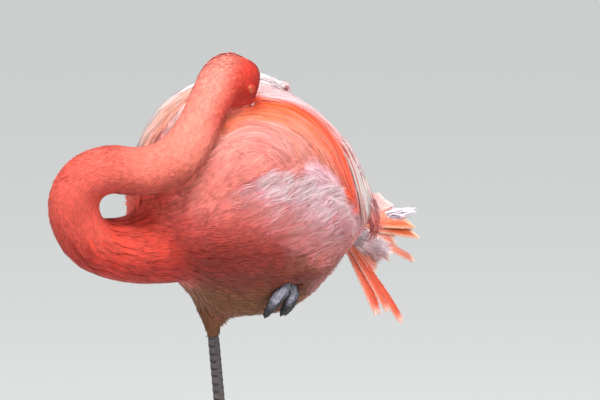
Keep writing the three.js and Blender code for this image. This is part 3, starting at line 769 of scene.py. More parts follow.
def grow_coat(name, slot, zone, kinds, spacing, scale, tilt, sway, material, seed, ground=None):
    """One coat piece. kinds are the small meshes to scatter over the ground, the skin unless one is given."""
    bundle = bpy.data.collections.new(name + " tufts")
    for i, kind in enumerate(kinds):
        bundle.objects.link(bpy.data.objects.new(f"{name} kind {i}", kind))
    carrier = shown(name + " carrier", ground or skin_mesh)
    grower = carrier.modifiers.new("grow", "NODES")
    grower.node_group = COAT_TREE
    sockets = {item.name: item.identifier for item in COAT_TREE.interface.items_tree
               if item.in_out == "INPUT"}
    for key, value in {"Zone": zone, "Spacing": spacing * MM, "Tufts": bundle, "Smallest": scale[0],
                       "Largest": scale[1], "Tilt": tilt, "Sway": sway, "Seed": seed,
                       "Material": material}.items():
        grower[sockets[key]] = value
    mesh = bpy.data.meshes.new_from_object(carrier.evaluated_get(bpy.context.evaluated_depsgraph_get()))
    mesh.name = name
    bpy.data.objects.remove(carrier)
    for kind in list(bundle.objects):
        bpy.data.objects.remove(kind)
    bpy.data.collections.remove(bundle)
    return placed(name, slot, mesh)


def placed(name, slot, mesh, replaces=()):
    """Puts a finished mesh in the scene, riding on the figure."""
    piece = shown(name, mesh)
    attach(piece, "root")
    if replaces:
        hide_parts(*replaces)
    print(name, "triangles:", sum(len(f.vertices) - 2 for f in mesh.polygons))
    return piece


def tufts(blades, length, width, fan, lift, steps, seed):
    """Three differing tufts of one kind."""
    return [tuft_mesh(f"tuft {seed} {i}", blades, length, width, fan, lift, steps, seed * 10 + i)
            for i in range(3)]


# %% Grow the small feathers
PLUSH = tufts(3, 12.0, 1.9, 0.18, 0.2, 2, 11)
HEAD_PLUSH = tufts(3, 7.0, 1.3, 0.2, 0.15, 2, 12)
CONTOUR = tufts(5, 22.0, 2.4, 0.32, 0.6, 3, 13)
THIGH_TUFTS = tufts(4, 15.0, 1.9, 0.2, 0.3, 3, 14)
FLUFF = tufts(5, 28.0, 2.0, 0.4, 2.0, 4, 15)
grow_coat("coat_neck_low", "neck_plumage", "coat_low_neck", PLUSH, 1.8, (0.75, 1.3), 0.03, 0.14, CREST, 11)
grow_coat("coat_neck_high", "neck_plumage", "coat_high_neck", PLUSH, 1.7, (0.7, 1.2), 0.03, 0.14, CREST, 16)
grow_coat("coat_head", "head_plumage", "coat_head", HEAD_PLUSH, 1.15, (0.75, 1.1), 0.03, 0.16, CREST, 12)
grow_coat("coat_body", "body_plumage", "coat_body", CONTOUR, 4.6, (0.75, 1.2), 0.08, 0.2, FEATHER, 13)
grow_coat("coat_thigh", "body_plumage", "coat_thigh", THIGH_TUFTS, 2.6, (0.8, 1.15), 0.07, 0.15, FEATHER, 14)
grow_coat("coat_tail", "tail_plumage", "coat_tail", FLUFF, 3.2, (0.7, 1.3), 0.22, 0.25, DOWN, 15)

# %% [markdown]
# ## Feathers that follow the body
# A long feather bends with the body under it, so a stiff tuft won't do. Each one gets a trail over the skin.
# It is either walked out from its root, a step along the lie and back down on to the skin, again and again,
# or drawn between two guide lines where the feathers lie in ordered rows. All feathers of a group are made at
# once, with arrays.

# %% Trails over the skin
skin_faces = [list(face.vertices) for face in skin_mesh.polygons]
SKIN_TREE = BVHTree.FromPolygons([Vector(p) for p in skin_points], skin_faces)
corners = np.array([(f[0], f[1], f[2], f[-1]) for f in skin_faces])
face_lie = unit(skin_lie[corners].mean(axis=1))
# The skin's colour, with the painted shade on its undersides, is taken up by the long feathers.
face_colour = skin_colour[corners].mean(axis=1)
face_normal = unit(skin_normals[corners].mean(axis=1))
loop_maps = np.empty(len(skin_mesh.loops) * 2, np.float32)
skin_mesh.uv_layers["OFBake"].data.foreach_get("uv", loop_maps)
face_map = loop_maps.reshape(-1, 2)[[face.loop_start for face in skin_mesh.polygons]]
open_coat = weights["body"] + weights["tail"] + weights["neck"] * smooth(0.5, 0.44, along_neck)
face_body = open_coat[corners].mean(axis=1)
silky = weights["body"] + weights["tail"] + weights["neck"] * smooth(0.4, 0.14, along_neck)
face_silky = silky[corners].mean(axis=1)
GUIDE_POINTS = 32
LONGEST_STRIDE = 2.2    # the longest step of a kept trail, in its median steps
BODY_ENDS = 0.35    # a trail lies on the skin only where body coat makes up more than this share
LEAST_BODY = 0.3    # the least share of body coat under any point of a guided trail
DRIFT = 0.07    # how far a guided trail wanders across its neighbours, as a share of all the guides' width


def settle(points):
    """The nearest places on the skin, with the smooth normals and the faces there."""
    found = [SKIN_TREE.find_nearest(Vector(p)) for p in points]
    faces = np.array([f[2] for f in found])
    return np.array([f[0] for f in found]), face_normal[faces], faces


def scatter(line, reach, spacing, chance, least_body=0.6):
    """Roots on the body's skin around a line and its mirror image, one in each cell of an even grid."""
    places = skin_points[corners].mean(axis=1)
    gap = distance_to_line(left_side(places - BODY_MIDDLE), line)[0]
    within = gap < reach * (0.75 + 0.25 * chance.random(len(gap)))
    near = np.where(within & (face_body > least_body))[0]
    near = near[face_silky[near] > chance.random(len(near))]
    near = chance.permutation(near)
    cells = np.floor(places[near] / spacing).astype(int)
    return places[near[np.unique(cells, axis=0, return_index=True)[1]]]


def walk(roots, length, steps, chance, way=None, turn=0.0, free=2.0):
    """Trails from their roots along the lie, or along one way. Past the share `free` they leave the skin."""
    count = len(roots)
    length = length * (0.8 + 0.4 * chance.random(count))
    spin = turn * (0.5 + chance.random(count)) + 0.1 * chance.normal(size=count)
    place, normal, face = settle(roots)
    course = face_lie[face] if way is None else np.tile(unit(np.array(way, float)), (count, 1))
    trail, normals, faces = [], [], []
    for step in range(steps + 1):
        if way is None:
            course = course + 0.5 * (face_lie[face] - course)
        course = unit(course - normal * np.sum(course * normal, axis=1, keepdims=True))
        course = unit(course + np.cross(normal, course) * (spin / steps)[:, None])
        trail.append(place)
        normals.append(normal)
        faces.append(face)
        ahead = place + course * (length / steps)[:, None]
        onto, onward, found = settle(ahead)
        loose = ((face_body[found] < BODY_ENDS) | (step / steps > free))[:, None]
        place = np.where(loose, ahead, onto)
        normal = np.where(loose, normal, unit(normal * 0.4 + onward * 0.6))
        face = np.where(loose[:, 0], face, found)
    trail, normals, faces = np.stack(trail, 1), np.stack(normals, 1), np.stack(faces, 1)
    if free > 1:
        near, outward, found = settle(trail.reshape(-1, 3))
        above = np.sum((trail.reshape(-1, 3) - near) * outward, axis=1)
        clear = (face_body[found] > BODY_ENDS) | (above < 0.5)    # none stands out of the neck or head
        clear = clear.reshape(count, -1).all(axis=1)
        trail, normals, faces = trail[clear], normals[clear], faces[clear]
    return trail, normals, faces


def guide(line):
    """A given line as evenly spaced points, with its corners rounded."""
    ends = np.asarray(line, float)
    lengths = np.concatenate([[0], np.cumsum(np.linalg.norm(np.diff(ends, axis=0), axis=1))])
    at = np.linspace(0, lengths[-1], GUIDE_POINTS)
    points = np.stack([np.interp(at, lengths, ends[:, i]) for i in range(3)], -1)
    for _ in range(4):
        points[1:-1] = 0.5 * points[1:-1] + 0.25 * (points[:-2] + points[2:])
    return points


def follow(lines, count, stretch, steps, chance, flips=(1, -1)):
    """Trails between guide lines, each at its own place across them and along a stretch of them.
    A flip of -1 mirrors them to the other side of the bird."""
    guides = np.stack([guide(line) for line in lines])
    across = chance.permutation((np.arange(count) + chance.random(count)) / count)
    reach = stretch[0] + (stretch[1] - stretch[0]) * chance.random(count)
    begin = (1 - reach) * chance.permutation((np.arange(count) + chance.random(count)) / count)
    along = (begin[:, None] + reach[:, None] * np.linspace(0, 1, steps + 1)) * (GUIDE_POINTS - 1)
    sideways = DRIFT * chance.normal(size=(count, 1))    # each crosses its neighbours a little
    drift = sideways * np.linspace(-0.5, 0.5, steps + 1)
    here = np.clip(across[:, None] + drift, 0, 1) * (len(lines) - 1)
    row = np.minimum(here.astype(int), len(lines) - 2)
    part = (here - row)[..., None]
    first = np.minimum(along.astype(int), GUIDE_POINTS - 2)
    onward = (along - first)[..., None]
    lower = guides[row, first] * (1 - onward) + guides[row, first + 1] * onward
    upper = guides[row + 1, first] * (1 - onward) + guides[row + 1, first + 1] * onward
    places = lower * (1 - part) + upper * part
    both = np.concatenate([places * np.array([1, flip, 1]) for flip in flips])
    flat, normals, faces = settle((both + BODY_MIDDLE).reshape(-1, 3))
    shape = (len(both), steps + 1)
    flat, normals, faces = flat.reshape(*shape, 3), normals.reshape(*shape, 3), faces.reshape(shape)
    strides = np.linalg.norm(np.diff(flat, axis=1), axis=2)
    even = strides.max(axis=1) < LONGEST_STRIDE * np.median(strides, axis=1)
    even &= face_body[faces].min(axis=1) > LEAST_BODY    # drops those that jump or run on to the neck or head
    flat, normals, faces = flat[even], normals[even], faces[even]
    for _ in range(2):
        normals[:, 1:-1] = unit(normals[:, 1:-1] + normals[:, :-2] + normals[:, 2:])
    return (flat, normals, faces), np.tile(across, len(flips))[even], np.tile(begin, len(flips))[even]


print("guide points on each line:", GUIDE_POINTS)

# %% [markdown]
# ## Dress the trails with blades
# Along each trail lie several narrow blades side by side. Together they are one vane, arched across its
# width, and towards the tip they part a little as barbs do. The tip stands a little higher than the root, so
# that each feather lies over the roots of the next.

# %% Blades along trails
def dress(name, slot, trails, tones, width, material, chance, blades=5, keep=(0.5, 0.5), loose=0.18, base=1.0,
          lift=1.5, fine=1.0):
    """Makes one piece of feathers. tones is a pair of colours, at root and tip, or None.
    keep, at root and tip, is how much of them covers the skin's colour, its painted shade included."""
    trail, normals, faces = trails
    count, steps = trail.shape[0], trail.shape[1] - 1
    width = width * (0.8 + 0.4 * chance.random(count))
    sides = unit(np.cross(normals, unit(np.gradient(trail, axis=1))))
    colours = face_colour[faces]
    lane = (np.arange(blades) + 0.5) / blades * 2 - 1
    reach = 1 - 0.14 * np.abs(lane)[None, :] - loose * chance.random((count, blades))
    stray = 0.35 * chance.normal(size=(count, blades))
    raised = 0.5 * chance.random((count, blades))
    along = np.linspace(0, 1, steps + 1)
    s = reach[:, :, None] * along[None, None, :]
    low = np.minimum((s * steps).astype(int), steps - 1)
    part = (s * steps - low)[..., None]
    row = np.arange(count)[:, None, None]

    def at(values):
        return values[row, low] * (1 - part) + values[row, low + 1] * part

    middle, up_way, across = at(trail), at(normals), at(sides)
    spread_out = np.sin(np.pi * (0.16 + 0.62 * s)) ** 0.8 * width[:, None, None]
    offset = (lane * 0.9)[None, :, None] * spread_out * (1 + 0.25 * s * stray[:, :, None])
    blade = fine * 0.62 * spread_out * 2 / blades * (1 - 0.88 * smooth(0.6, 1.0, along)[None, None, :])
    base = np.broadcast_to(base, count)[:, None, None] * smooth(0.0, 0.22, s)
    arch = 0.11 * width[:, None, None] * (1 - lane ** 2)[None, :, None]
    height = base + raised[:, :, None] + lift * s ** 2 + arch
    axis = middle + across * offset[..., None] + up_way * height[..., None]
    points = np.stack([axis - across * blade[..., None], axis + across * blade[..., None]], 3)
    tint = at(colours)
    if tones is not None:
        root, tip = (np.broadcast_to(tone, (count, 3))[:, None, None, :] for tone in tones)
        held = (keep[0] + (keep[1] - keep[0]) * smooth(0.0, 0.6, s))[..., None]
        tint = (root + (tip - root) * smooth(0.3, 1.0, s)[..., None]) * held + tint * (1 - held)
    tint = np.repeat(tint[:, :, :, None, :], 2, axis=3)
    tone = 0.5 + 0.27 * chance.normal(size=(count, 1)) + 0.2 * chance.normal(size=(count, blades))
    tone = np.clip(tone, 0, 1)
    vane_x = (np.arange(blades)[None, :, None, None] + np.array([0, 1])) / blades
    vane = np.stack(np.broadcast_arrays(vane_x, s[..., None]), -1)
    start = (np.arange(count * blades) * (steps + 1) * 2)[:, None] + 2 * np.arange(steps)[None, :]
    quads = np.stack([start, start + 1, start + 3, start + 2], -1).reshape(-1, 4)
    mesh = mesh_of(name, points.reshape(-1, 3), quads)
    paint(mesh, tint)
    store(mesh, "tone", np.broadcast_to(tone[:, :, None, None], s.shape + (2,)).ravel())
    patch = face_map[faces[:, 0]][:, None, None, None, :] + (vane - 0.5) * PATCH
    for layer, values in (("vane", vane), ("OFBake", np.broadcast_to(patch, vane.shape))):
        at_corners = values.reshape(-1, 2)[quads.ravel()].astype(np.float32)
        mesh.uv_layers.new(name=layer).data.foreach_set("uv", at_corners.ravel())
    mesh.materials.append(material)
    mesh.shade_smooth()
    return placed(name, slot, mesh)


def mixed(stops, at, jitter, chance):
    """Colours from (place, tone) stops, each read a little to one side, so that neighbours differ."""
    places = np.clip(at + jitter * chance.normal(size=len(at)), 0, 1)
    return graded(places, [place for place, _ in stops], [tone for _, tone in stops])


# %% Silky feathers of the breast and shoulder
BREAST = [(-240, -10, 650), (-190, -20, 640), (-130, -60, 650), (-70, -90, 650), (0, -96, 645)]
UNDER = [(-120, -35, 600), (-60, -60, 600), (0, -75, 602), (70, -66, 606)]
SHOULDER = [(-125, -84, 735), (-70, -98, 750), (-10, -98, 772), (40, -92, 760)]
chance = np.random.default_rng(21)
trails = walk(scatter(BREAST, 90, 6.4, chance), 32.0, 6, chance)
dress("feathers_breast", "body_plumage", trails, None, 3.6, SILK, chance, blades=3, loose=0.3)
trails = walk(scatter(UNDER, 50, 8.0, chance), 30.0, 6, chance)
dress("feathers_under", "body_plumage", trails, None, 4.4, FEATHER, chance, blades=4, loose=0.3)
trails = walk(scatter(SHOULDER, 72, 8.0, chance), 44.0, 7, chance, turn=0.1)
dress("feathers_shoulder", "wing_plumage", trails, None, 5.2, SILK, chance, blades=4, loose=0.25)

# %% Back and cape
BACK = [(-90, 0, 850), (0, 0, 862), (80, 0, 835), (130, 0, 780), (155, 0, 720)]
CAPE_GUIDES = [
    [(-30, -34, 852), (-17, -47, 848), (22, -43, 845), (59, -40, 834), (90, -42, 810), (110, -52, 785),
     (128, -56, 757), (140, -56, 730), (150, -52, 704), (156, -46, 688)],
    [(-49, -66, 846), (-3, -57, 841), (35, -59, 830), (65, -61, 810), (84, -70, 784), (98, -78, 755),
     (108, -80, 725), (116, -78, 694), (128, -64, 663)],
    [(-70, -66, 836), (-30, -67, 834), (7, -71, 825), (34, -78, 806), (53, -84, 781), (70, -89, 752),
     (82, -89, 725)],
    [(-88, -70, 820), (-52, -76, 825), (-18, -80, 818), (10, -86, 802), (31, -91, 778), (44, -96, 750)],
    [(-102, -78, 797), (-67, -81, 810), (-37, -86, 808), (-13, -92, 794), (4, -97, 774), (12, -101, 752)],
    [(-115, -82, 772), (-90, -86, 786), (-65, -91, 791), (-42, -95, 785), (-27, -99, 770), (-18, -102, 752)],
    [(-126, -82, 738), (-100, -88, 752), (-78, -93, 764), (-58, -98, 764), (-44, -101, 752),
     (-34, -103, 736)],
]
CAPE_TONES = [(0, "#f3c6ca"), (0.1, "#f6b4b4"), (0.16, "#f4511f"), (0.24, "#f2481a"), (0.32, "#f7703e"),
              (0.4, "#f08a70"), (0.48, "#f0774a"), (0.55, "#ec908a"), (0.62, "#ef8560"), (0.7, "#ea8c86"),
              (0.8, "#e67e74"), (0.9, "#e2766c"), (1, "#dc665a")]
chance = np.random.default_rng(24)
trails = walk(scatter(BACK, 62, 9.0, chance), 62.0, 8, chance)
dress("feathers_back", "wing_plumage", trails, None, 7.0, SILK, chance)
for name, count, stretch, steps, width, base in (("feathers_cape", 620, (0.4, 0.62), 14, 4.2, 2.2),
                                                 ("feathers_cape_top", 260, (0.5, 0.75), 16, 3.4, 3.2)):
    trails, across, _ = follow(CAPE_GUIDES, count, stretch, steps, chance)
    tones = mixed(CAPE_TONES, across, 0.035, chance)
    pale = tones + 0.3 * chance.random(len(tones))[:, None] * (linear("#f6c8c4") - tones)
    low_edge = base * (1 - 0.85 * smooth(0.75, 1.0, across))
    dress(name, "wing_plumage", trails, (tones, pale), width, SILK, chance, blades=3, keep=(0.1, 0.9),
          loose=0.12, base=low_edge, lift=0.8)

# %% Strips at the folded wing's rear, scapulars and the far shoulder
STRIP_GUIDES = [
    [(96, -40, 806), (124, -50, 765), (143, -54, 722), (156, -48, 694), (167, -36, 670)],
    [(84, -66, 790), (104, -76, 750), (118, -79, 712), (129, -72, 680), (138, -58, 660)],
]
STRIP_TONES = ["#d9d2ce", "#e2502c", "#ecd6d6", "#b5301c", "#e9dedb", "#f0a79c", "#cdc4c0", "#ecdadc"]
chance = np.random.default_rng(27)
trails, across, _ = follow(STRIP_GUIDES, 46, (0.62, 0.9), 14, chance)
which = (across * 22 + 0.5 * chance.random(len(across))).astype(int) % len(STRIP_TONES)
strip = np.array([linear(tone) for tone in STRIP_TONES])[which]
dress("feathers_strips", "wing_plumage", trails, (strip, strip + 0.3 * (linear("#efe2e0") - strip)), 5.2,
      SILK, chance, blades=3, keep=(0.5, 0.95), loose=0.08, base=4.4, lift=0.6)
SCAPULAR_GUIDES = [[(-36, 4, 866), (0, 6, 868), (36, 6, 862), (66, 2, 848)],
                   [(-34, 34, 858), (4, 34, 862), (42, 30, 856), (74, 22, 842)]]
SCAPULAR_TONES = (linear("#f9e0e1"), linear("#fcf2f3"))
trails = follow(SCAPULAR_GUIDES, 60, (0.55, 0.95), 10, chance, flips=(1,))[0]
dress("feathers_scapular", "wing_plumage", trails, SCAPULAR_TONES, 8.5, SILK, chance, keep=(0.9, 0.9),
      loose=0.12, base=2.4, lift=1.8)
FAR_GUIDES = [[(-66, -22, 858), (-92, -20, 850), (-122, -8, 832), (-146, 4, 800), (-158, 14, 762)],
              [(-68, 2, 862), (-96, 6, 852), (-124, 18, 832), (-146, 32, 800), (-156, 42, 768)],
              [(-72, 26, 856), (-102, 36, 840), (-128, 50, 812), (-146, 60, 778), (-151, 68, 742)],
              [(-68, 46, 846), (-98, 60, 826), (-120, 74, 796), (-132, 84, 760), (-136, 90, 722)]]
FAR_TONES = [(0, "#f4926e"), (0.14, "#f7a98c"), (0.3, "#f8cdbf"), (0.42, "#f8e9e6"), (0.7, "#faf0ee"),
             (0.85, "#f4d5d0"), (1, "#ec9c92")]
FAR_ROWS, ROW_STEP = 5, 3.5    # rows across the shoulder, and how far each rises to lie over the next
trails, across, _ = follow(FAR_GUIDES, 240, (0.3, 0.6), 10, chance, flips=(1,))
stacked = 1.0 + ROW_STEP * (across * FAR_ROWS % 1)
far = mixed(FAR_TONES, across, 0.05, chance)
dress("feathers_far_shoulder", "wing_plumage", trails, (far, far + 0.4 * (linear("#f9eeee") - far)), 8.0,
      SILK, chance, keep=(0.85, 0.85), loose=0.1, base=stacked, lift=0.8)

# %% Flank plumes and the fluff under the tail
FLANK_GUIDES = [
    [(-129, -81, 713), (-92, -95, 728), (-58, -103, 743), (-23, -102, 758)],
    [(-109, -91, 696), (-69, -101, 711), (-26, -102, 729), (10, -101, 752)],
    [(-85, -97, 682), (-43, -103, 697), (5, -102, 716), (49, -97, 741)],
    [(-60, -101, 668), (-11, -103, 680), (36, -98, 702), (72, -89, 724), (90, -87, 722)],
    [(-30, -98, 653), (17, -98, 664), (58, -94, 680), (88, -85, 696), (104, -80, 682)],
    [(-2, -93, 638), (41, -90, 645), (80, -81, 655), (107, -72, 664), (128, -55, 650)],
    [(28, -86, 618), (66, -80, 622), (100, -66, 632), (124, -48, 636), (142, -28, 628)],
]
PLUME_ROOTS = [(0, "#c4605a"), (0.5, "#cc7278"), (1, "#cc8492")]    # from the flank's red to its pale rear
PLUME_TIPS = [(0, "#d57a72"), (0.35, "#e6adb0"), (0.7, "#f5dde3"), (1, "#fdf6f9")]
chance = np.random.default_rng(25)
trails, across, begin = follow(FLANK_GUIDES, 500, (0.34, 0.5), 10, chance)
pale = smooth(-0.05, 0.5, begin) * smooth(1.05, 0.5, across)
roots = mixed(PLUME_ROOTS, pale, 0.2, chance)
tips = mixed(PLUME_TIPS, pale, 0.16, chance)
dress("feathers_flank", "wing_plumage", trails, (roots, tips), 4.8, DOWN, chance, blades=5, keep=(0.4, 0.9),
      loose=0.38, base=1.6, lift=3.0, fine=0.7)
trails, across, _ = follow([line[-3:] for line in FLANK_GUIDES], 220, (0.35, 0.7), 8, chance)
pale = smooth(1.05, 0.45, across)
roots = mixed(PLUME_ROOTS, pale, 0.2, chance)
tips = mixed(PLUME_TIPS, pale, 0.1, chance)
dress("feathers_flank_edge", "wing_plumage", trails, (roots, tips), 4.4, DOWN, chance, blades=6,
      keep=(0.1, 0.85), loose=0.4, base=2.6, lift=4.2, fine=0.7)
VENT = [(120, -30, 625), (165, -10, 640), (200, 0, 618)]
VENT_TONES = (linear("#a98790"), linear("#efe2ea"))
trails = walk(scatter(VENT, 36, 6.0, chance, least_body=0.4), 34.0, 6, chance, way=(0.75, 0, -0.66), free=0.3)
dress("feathers_vent", "tail_plumage", trails, VENT_TONES, 4.4, DOWN, chance, blades=6, keep=(0.4, 0.8),
      loose=0.45, base=1.5, lift=2.5, fine=0.6)

# %% [markdown]
# ## Plates and tubes
# The tail's vanes, the scutes of the leg and the eyelids are all thin closed plates over a curved grid, and
# shafts and claws are tapered tubes. Two helpers make those. A third gathers many such shapes into one mesh
# with its colours and its own map, and a plain painted material reads them.

# %% Slabs, tubes and gathered meshes
def slab(grid, rise, thick):
    """A thin closed plate over rows and columns of places, with the outward direction at each."""
    rows, columns = grid.shape[:2]
    half = rows * columns
    points = np.concatenate([(grid + rise * thick / 2).reshape(-1, 3),
                             (grid - rise * thick / 2).reshape(-1, 3)])
    cell = (np.arange(rows - 1)[:, None] * columns + np.arange(columns - 1)).ravel()
    quads = np.stack([cell, cell + 1, cell + columns + 1, cell + columns], -1)
    border = np.concatenate([np.arange(columns), np.arange(1, rows) * columns + columns - 1,
                             (rows - 1) * columns + np.arange(columns - 2, -1, -1),
                             np.arange(rows - 2, 0, -1) * columns])
    after = np.roll(border, -1)
    walls = np.stack([border, border + half, after + half, after], -1)
    faces = np.concatenate([quads, quads[:, ::-1] + half, walls])
    if np.cross(grid[0, 1] - grid[0, 0], grid[1, 0] - grid[0, 0]) @ rise[0, 0] < 0:
        faces = faces[:, ::-1]
    return points, faces.tolist()


def tube(path, radii, sides=8):
    """A closed tube of rings along a path."""
    path, radii = np.asarray(path, float), np.asarray(radii, float)
    ways = unit(np.gradient(path, axis=0))
    first = unit(np.cross(ways, (0.31, 0.9, 0.17)))
    second = np.cross(ways, first)
    turns = (np.arange(sides) / sides * 2 * math.pi)[None, :, None]
    around = np.cos(turns) * first[:, None] + np.sin(turns) * second[:, None]
    rings = path[:, None] + radii[:, None, None] * around
    points = np.concatenate([rings.reshape(-1, 3), path[:1], path[-1:]])
    faces = []
    for i in range(len(path) - 1):
        for j in range(sides):
            a, b = i * sides + j, i * sides + (j + 1) % sides
            faces.append([a, b, b + sides, a + sides])
    last = (len(path) - 1) * sides
    for j in range(sides):
        faces.append([(j + 1) % sides, j, len(path) * sides])
        faces.append([last + j, last + (j + 1) % sides, len(path) * sides + 1])
    return points, faces


def gathered(name, shapes, material):
    """One mesh from many shapes of (points, faces, colours, map, tone)."""
    points, faces, colours, maps, tones = [], [], [], [], []
    start = 0
    for shape_points, shape_faces, colour, place, tone in shapes:
        count = len(shape_points)
        points.append(shape_points)
        faces += [[i + start for i in face] for face in shape_faces]
        colours.append(np.broadcast_to(colour, (count, 3)))
        maps.append(np.broadcast_to(place, (count, 2)))
        tones.append(np.full(count, tone))
        start += count
    mesh = mesh_of(name, np.concatenate(points), faces)
    maps = np.concatenate(maps)
    paint(mesh, np.concatenate(colours))
    store(mesh, "tone", np.concatenate(tones))
    around = np.array([loop.vertex_index for loop in mesh.loops])
    mesh.uv_layers.new(name="vane").data.foreach_set("uv", maps[around].astype(np.float32).ravel())
    mesh.materials.append(material)
    return mesh


def painted_material(name, rough, grain, shade, depth, coat=0.0):
    """A painted surface. Its grain, so many millimetres across, darkens and lightens it and
    stands out by depth, in millimetres."""
    material = bpy.data.materials.new(name)
    material.use_nodes = True
    tree = material.node_tree
    shader = tree.nodes["Principled BSDF"]
    own = add(tree, "ShaderNodeAttribute", {"attribute_name": "plumage"})
    place = add(tree, "ShaderNodeTexCoord")
    noise = add(tree, "ShaderNodeTexNoise",
                feeds={"Vector": out(place, "Object"), "Scale": 1000 / grain, "Detail": 4.0})
    light = add(tree, "ShaderNodeMapRange",
                feeds={"Value": out(noise, "Fac"), "From Min": 0.3, "From Max": 0.7,
                                                   "To Min": 1 - shade, "To Max": 1 + shade})
    lit = add(tree, "ShaderNodeVectorMath", {"operation": "SCALE"},
              {0: out(own, "Color"), "Scale": out(light, "Result")})
    tree.links.new(out(lit), shader.inputs["Base Color"])
    bump = add(tree, "ShaderNodeBump",
               feeds={"Height": out(noise, "Fac"), "Strength": 0.8, "Distance": depth * MM})
    tree.links.new(out(bump), shader.inputs["Normal"])
    shader.inputs["Roughness"].default_value = rough
    shader.inputs["Coat Weight"].default_value = coat
    shader.inputs["Coat Roughness"].default_value = 0.15
    return material


# %% [markdown]
# ## Tail feathers
# A tail feather is a stiff vane: a shaft with a web of barbs on each side, pointing forwards and hooked
# together. Each one is built so: a thin cambered plate, a tapered shaft, and a row of barbs over both faces,
# which break the plate's edge as real barbs do. The fan has twelve of them. From the top down the upper four
# turn from pale pink to orange, the middle ones are salmon and the lowest are coral. On the upper four the
# pink is partly painted light on the webs that face up, and the deep orange partly painted shade on the webs
# below.

# %% Twelve barbed tail feathers
TAIL_FAN = 26.0    # a feather is rooted this far from the fan's middle, times the sine of its angle
# For each feather: degrees from the middle of the fan, length, and half its width
TAIL_FEATHERS = [(-48, 113, 13), (-40, 129, 13.5), (-34, 144, 13.5), (-29, 151, 13), (-21, 104, 11),
                 (-13, 141, 6.5), (-5, 88, 10), (8, 70, 10), (20, 68, 10), (30, 137, 9), (36, 113, 8),
                 (46, 107, 10.5)]
# The tones of one web, of the other, and of the edge
# on the upper four, the upper webs' pink is partly painted light and the lower webs' deep orange partly
# painted shade
UPPER_WEBS_WITH_PAINTED_LIGHT = [("#f7bdb8", "#f7bdb8", "#fbe6e2"), ("#f7b8b4", "#f5a898", "#fbe6e2"),
              ("#f3a08c", "#e0662e", "#f6c9a8"), ("#d9622c", "#cf5824", "#f4d2b8")]
MIDDLE_WEBS = ("#ea8f7a", "#e98468", "#f3d5c8")
LOWER_WEBS = ("#e4573a", "#ea7358", "#f6cfc0")
SHAFT_TONE, PLUME_TONE = "#f0b8a0", "#ece2ea"
LAST_UPPER, LAST_MIDDLE = 4, 9    # the feathers counted up to here have the upper or the middle webs
TIP_SLANT = 9.0    # how far the upper feathers' longer corner reaches past their middle
BARB_GAP, BARB_ANGLE = 1.7, math.radians(36)
TAIL_VANE = feather_material("stiff flight feather keratin", 0.1, 0.1, 0.0, 0.2)


def tail_feather(index, degrees, length, half, webs, chance):
    """The plate, shaft and barbs of one tail feather."""
    angle = math.radians(degrees)
    way = TAIL_MIDDLE * math.cos(angle) + TAIL_SPREAD * math.sin(angle)
    across = np.cross(TAIL_FLAT, way)
    root = BODY_MIDDLE + TAIL_ROOT + TAIL_SPREAD * TAIL_FAN * math.sin(angle)
    lift = 0.9 if index % 2 else -0.9
    slant = TIP_SLANT if index < LAST_UPPER else 0.0
    slot = (index + 0.5) / len(TAIL_FEATHERS)    # the middle of its own strip of the map
    tones = [linear(tone) for tone in webs]

    def wide(s):
        """Half the feather's width, at a share of the length."""
        return half * np.interp(s, [0, 0.15, 0.4, 0.75, 0.9, 0.97, 1], [0.45, 0.7, 0.93, 1, 0.9, 0.66, 0.28])

    def place(s, u, height):
        """The place at a share s of the length, u beside the shaft and height above the webs."""
        s, u = np.broadcast_arrays(np.asarray(s, float), np.asarray(u, float))
        high = lift + 5 * s ** 2 - 0.012 * u ** 2 + height
        reach = s * length + slant * smooth(0.55, 1.0, s) * u / half
        return root + reach[..., None] * way + u[..., None] * across + high[..., None] * TAIL_FLAT

    def tone_at(s, u):
        """The colour there: one web, the other, and a paler edge."""
        s, u = np.broadcast_arrays(np.asarray(s, float), np.asarray(u, float))
        side = smooth(-0.12 * half, 0.12 * half, u)[..., None]
        web = tones[0] * (1 - side) + tones[1] * side
        end = np.maximum(smooth(0.93, 1.0, s), 0.8 * smooth(0.86, 1.0, u / wide(s)))[..., None]
        return web * (1 - end) + tones[2] * end

    shapes = []
    s = np.linspace(0.04, 0.985, 26)[:, None]
    u = np.linspace(-1, 1, 9)[None, :] * wide(s) * (0.94 + 0.05 * chance.random((26, 1)))
    grid = place(s, u, 0.0)
    points, faces = slab(grid, np.broadcast_to(TAIL_FLAT, grid.shape), 0.6)
    patch = np.stack(np.broadcast_arrays(slot + 0.45 * u / half / len(TAIL_FEATHERS), s), -1).reshape(-1, 2)
    shapes.append((points, faces, np.tile(tone_at(s, u).reshape(-1, 3), (2, 1)), np.tile(patch, (2, 1)), 0.5))
    s = np.linspace(0.0, 0.96, 14)
    shaft, thin = place(s, 0 * s, 0.2), 1.25 * (1 - 0.8 * s)
    shapes.append((*tube(shaft, thin, 6), linear(SHAFT_TONE), (slot, 0.5), 0.6))
    count = int(length * 0.93 / BARB_GAP)
    for face in (1, -1):
        for side in (-1, 1):
            for k in range(count):
                start = 0.05 + 0.93 * (k + 0.3 * chance.random()) / count
                turn = BARB_ANGLE * (1 - 0.55 * smooth(0.75, 1.0, start)) * (1 + 0.08 * chance.normal())
                reach = (wide(min(1, start + 0.06)) + 0.9 * chance.random()) / math.sin(turn)
                along = start + np.array([0, 0.5, 1]) * reach * math.cos(turn) / length * 0.92
                out_to = side * np.array([0, 0.55, 1]) * reach * math.sin(turn)
                middle = place(np.minimum(along, 1.03), out_to, face * (0.5 + 0.15 * chance.random()))
                edge = unit(np.cross(middle[2] - middle[0], TAIL_FLAT)) * np.array([[0.95], [0.8], [0.3]])
                points = np.concatenate([middle - edge, middle + edge])
                faces = [[0, 1, 4, 3], [1, 2, 5, 4]]
                if face * side > 0:
                    faces = [f[::-1] for f in faces]
                colour = np.tile(tone_at(along, out_to), (2, 1))
                patch = np.stack([slot + 0.45 * out_to / half / len(TAIL_FEATHERS), along], -1)
                shapes.append((points, faces, colour, np.tile(patch, (2, 1)), chance.random()))
    return shapes


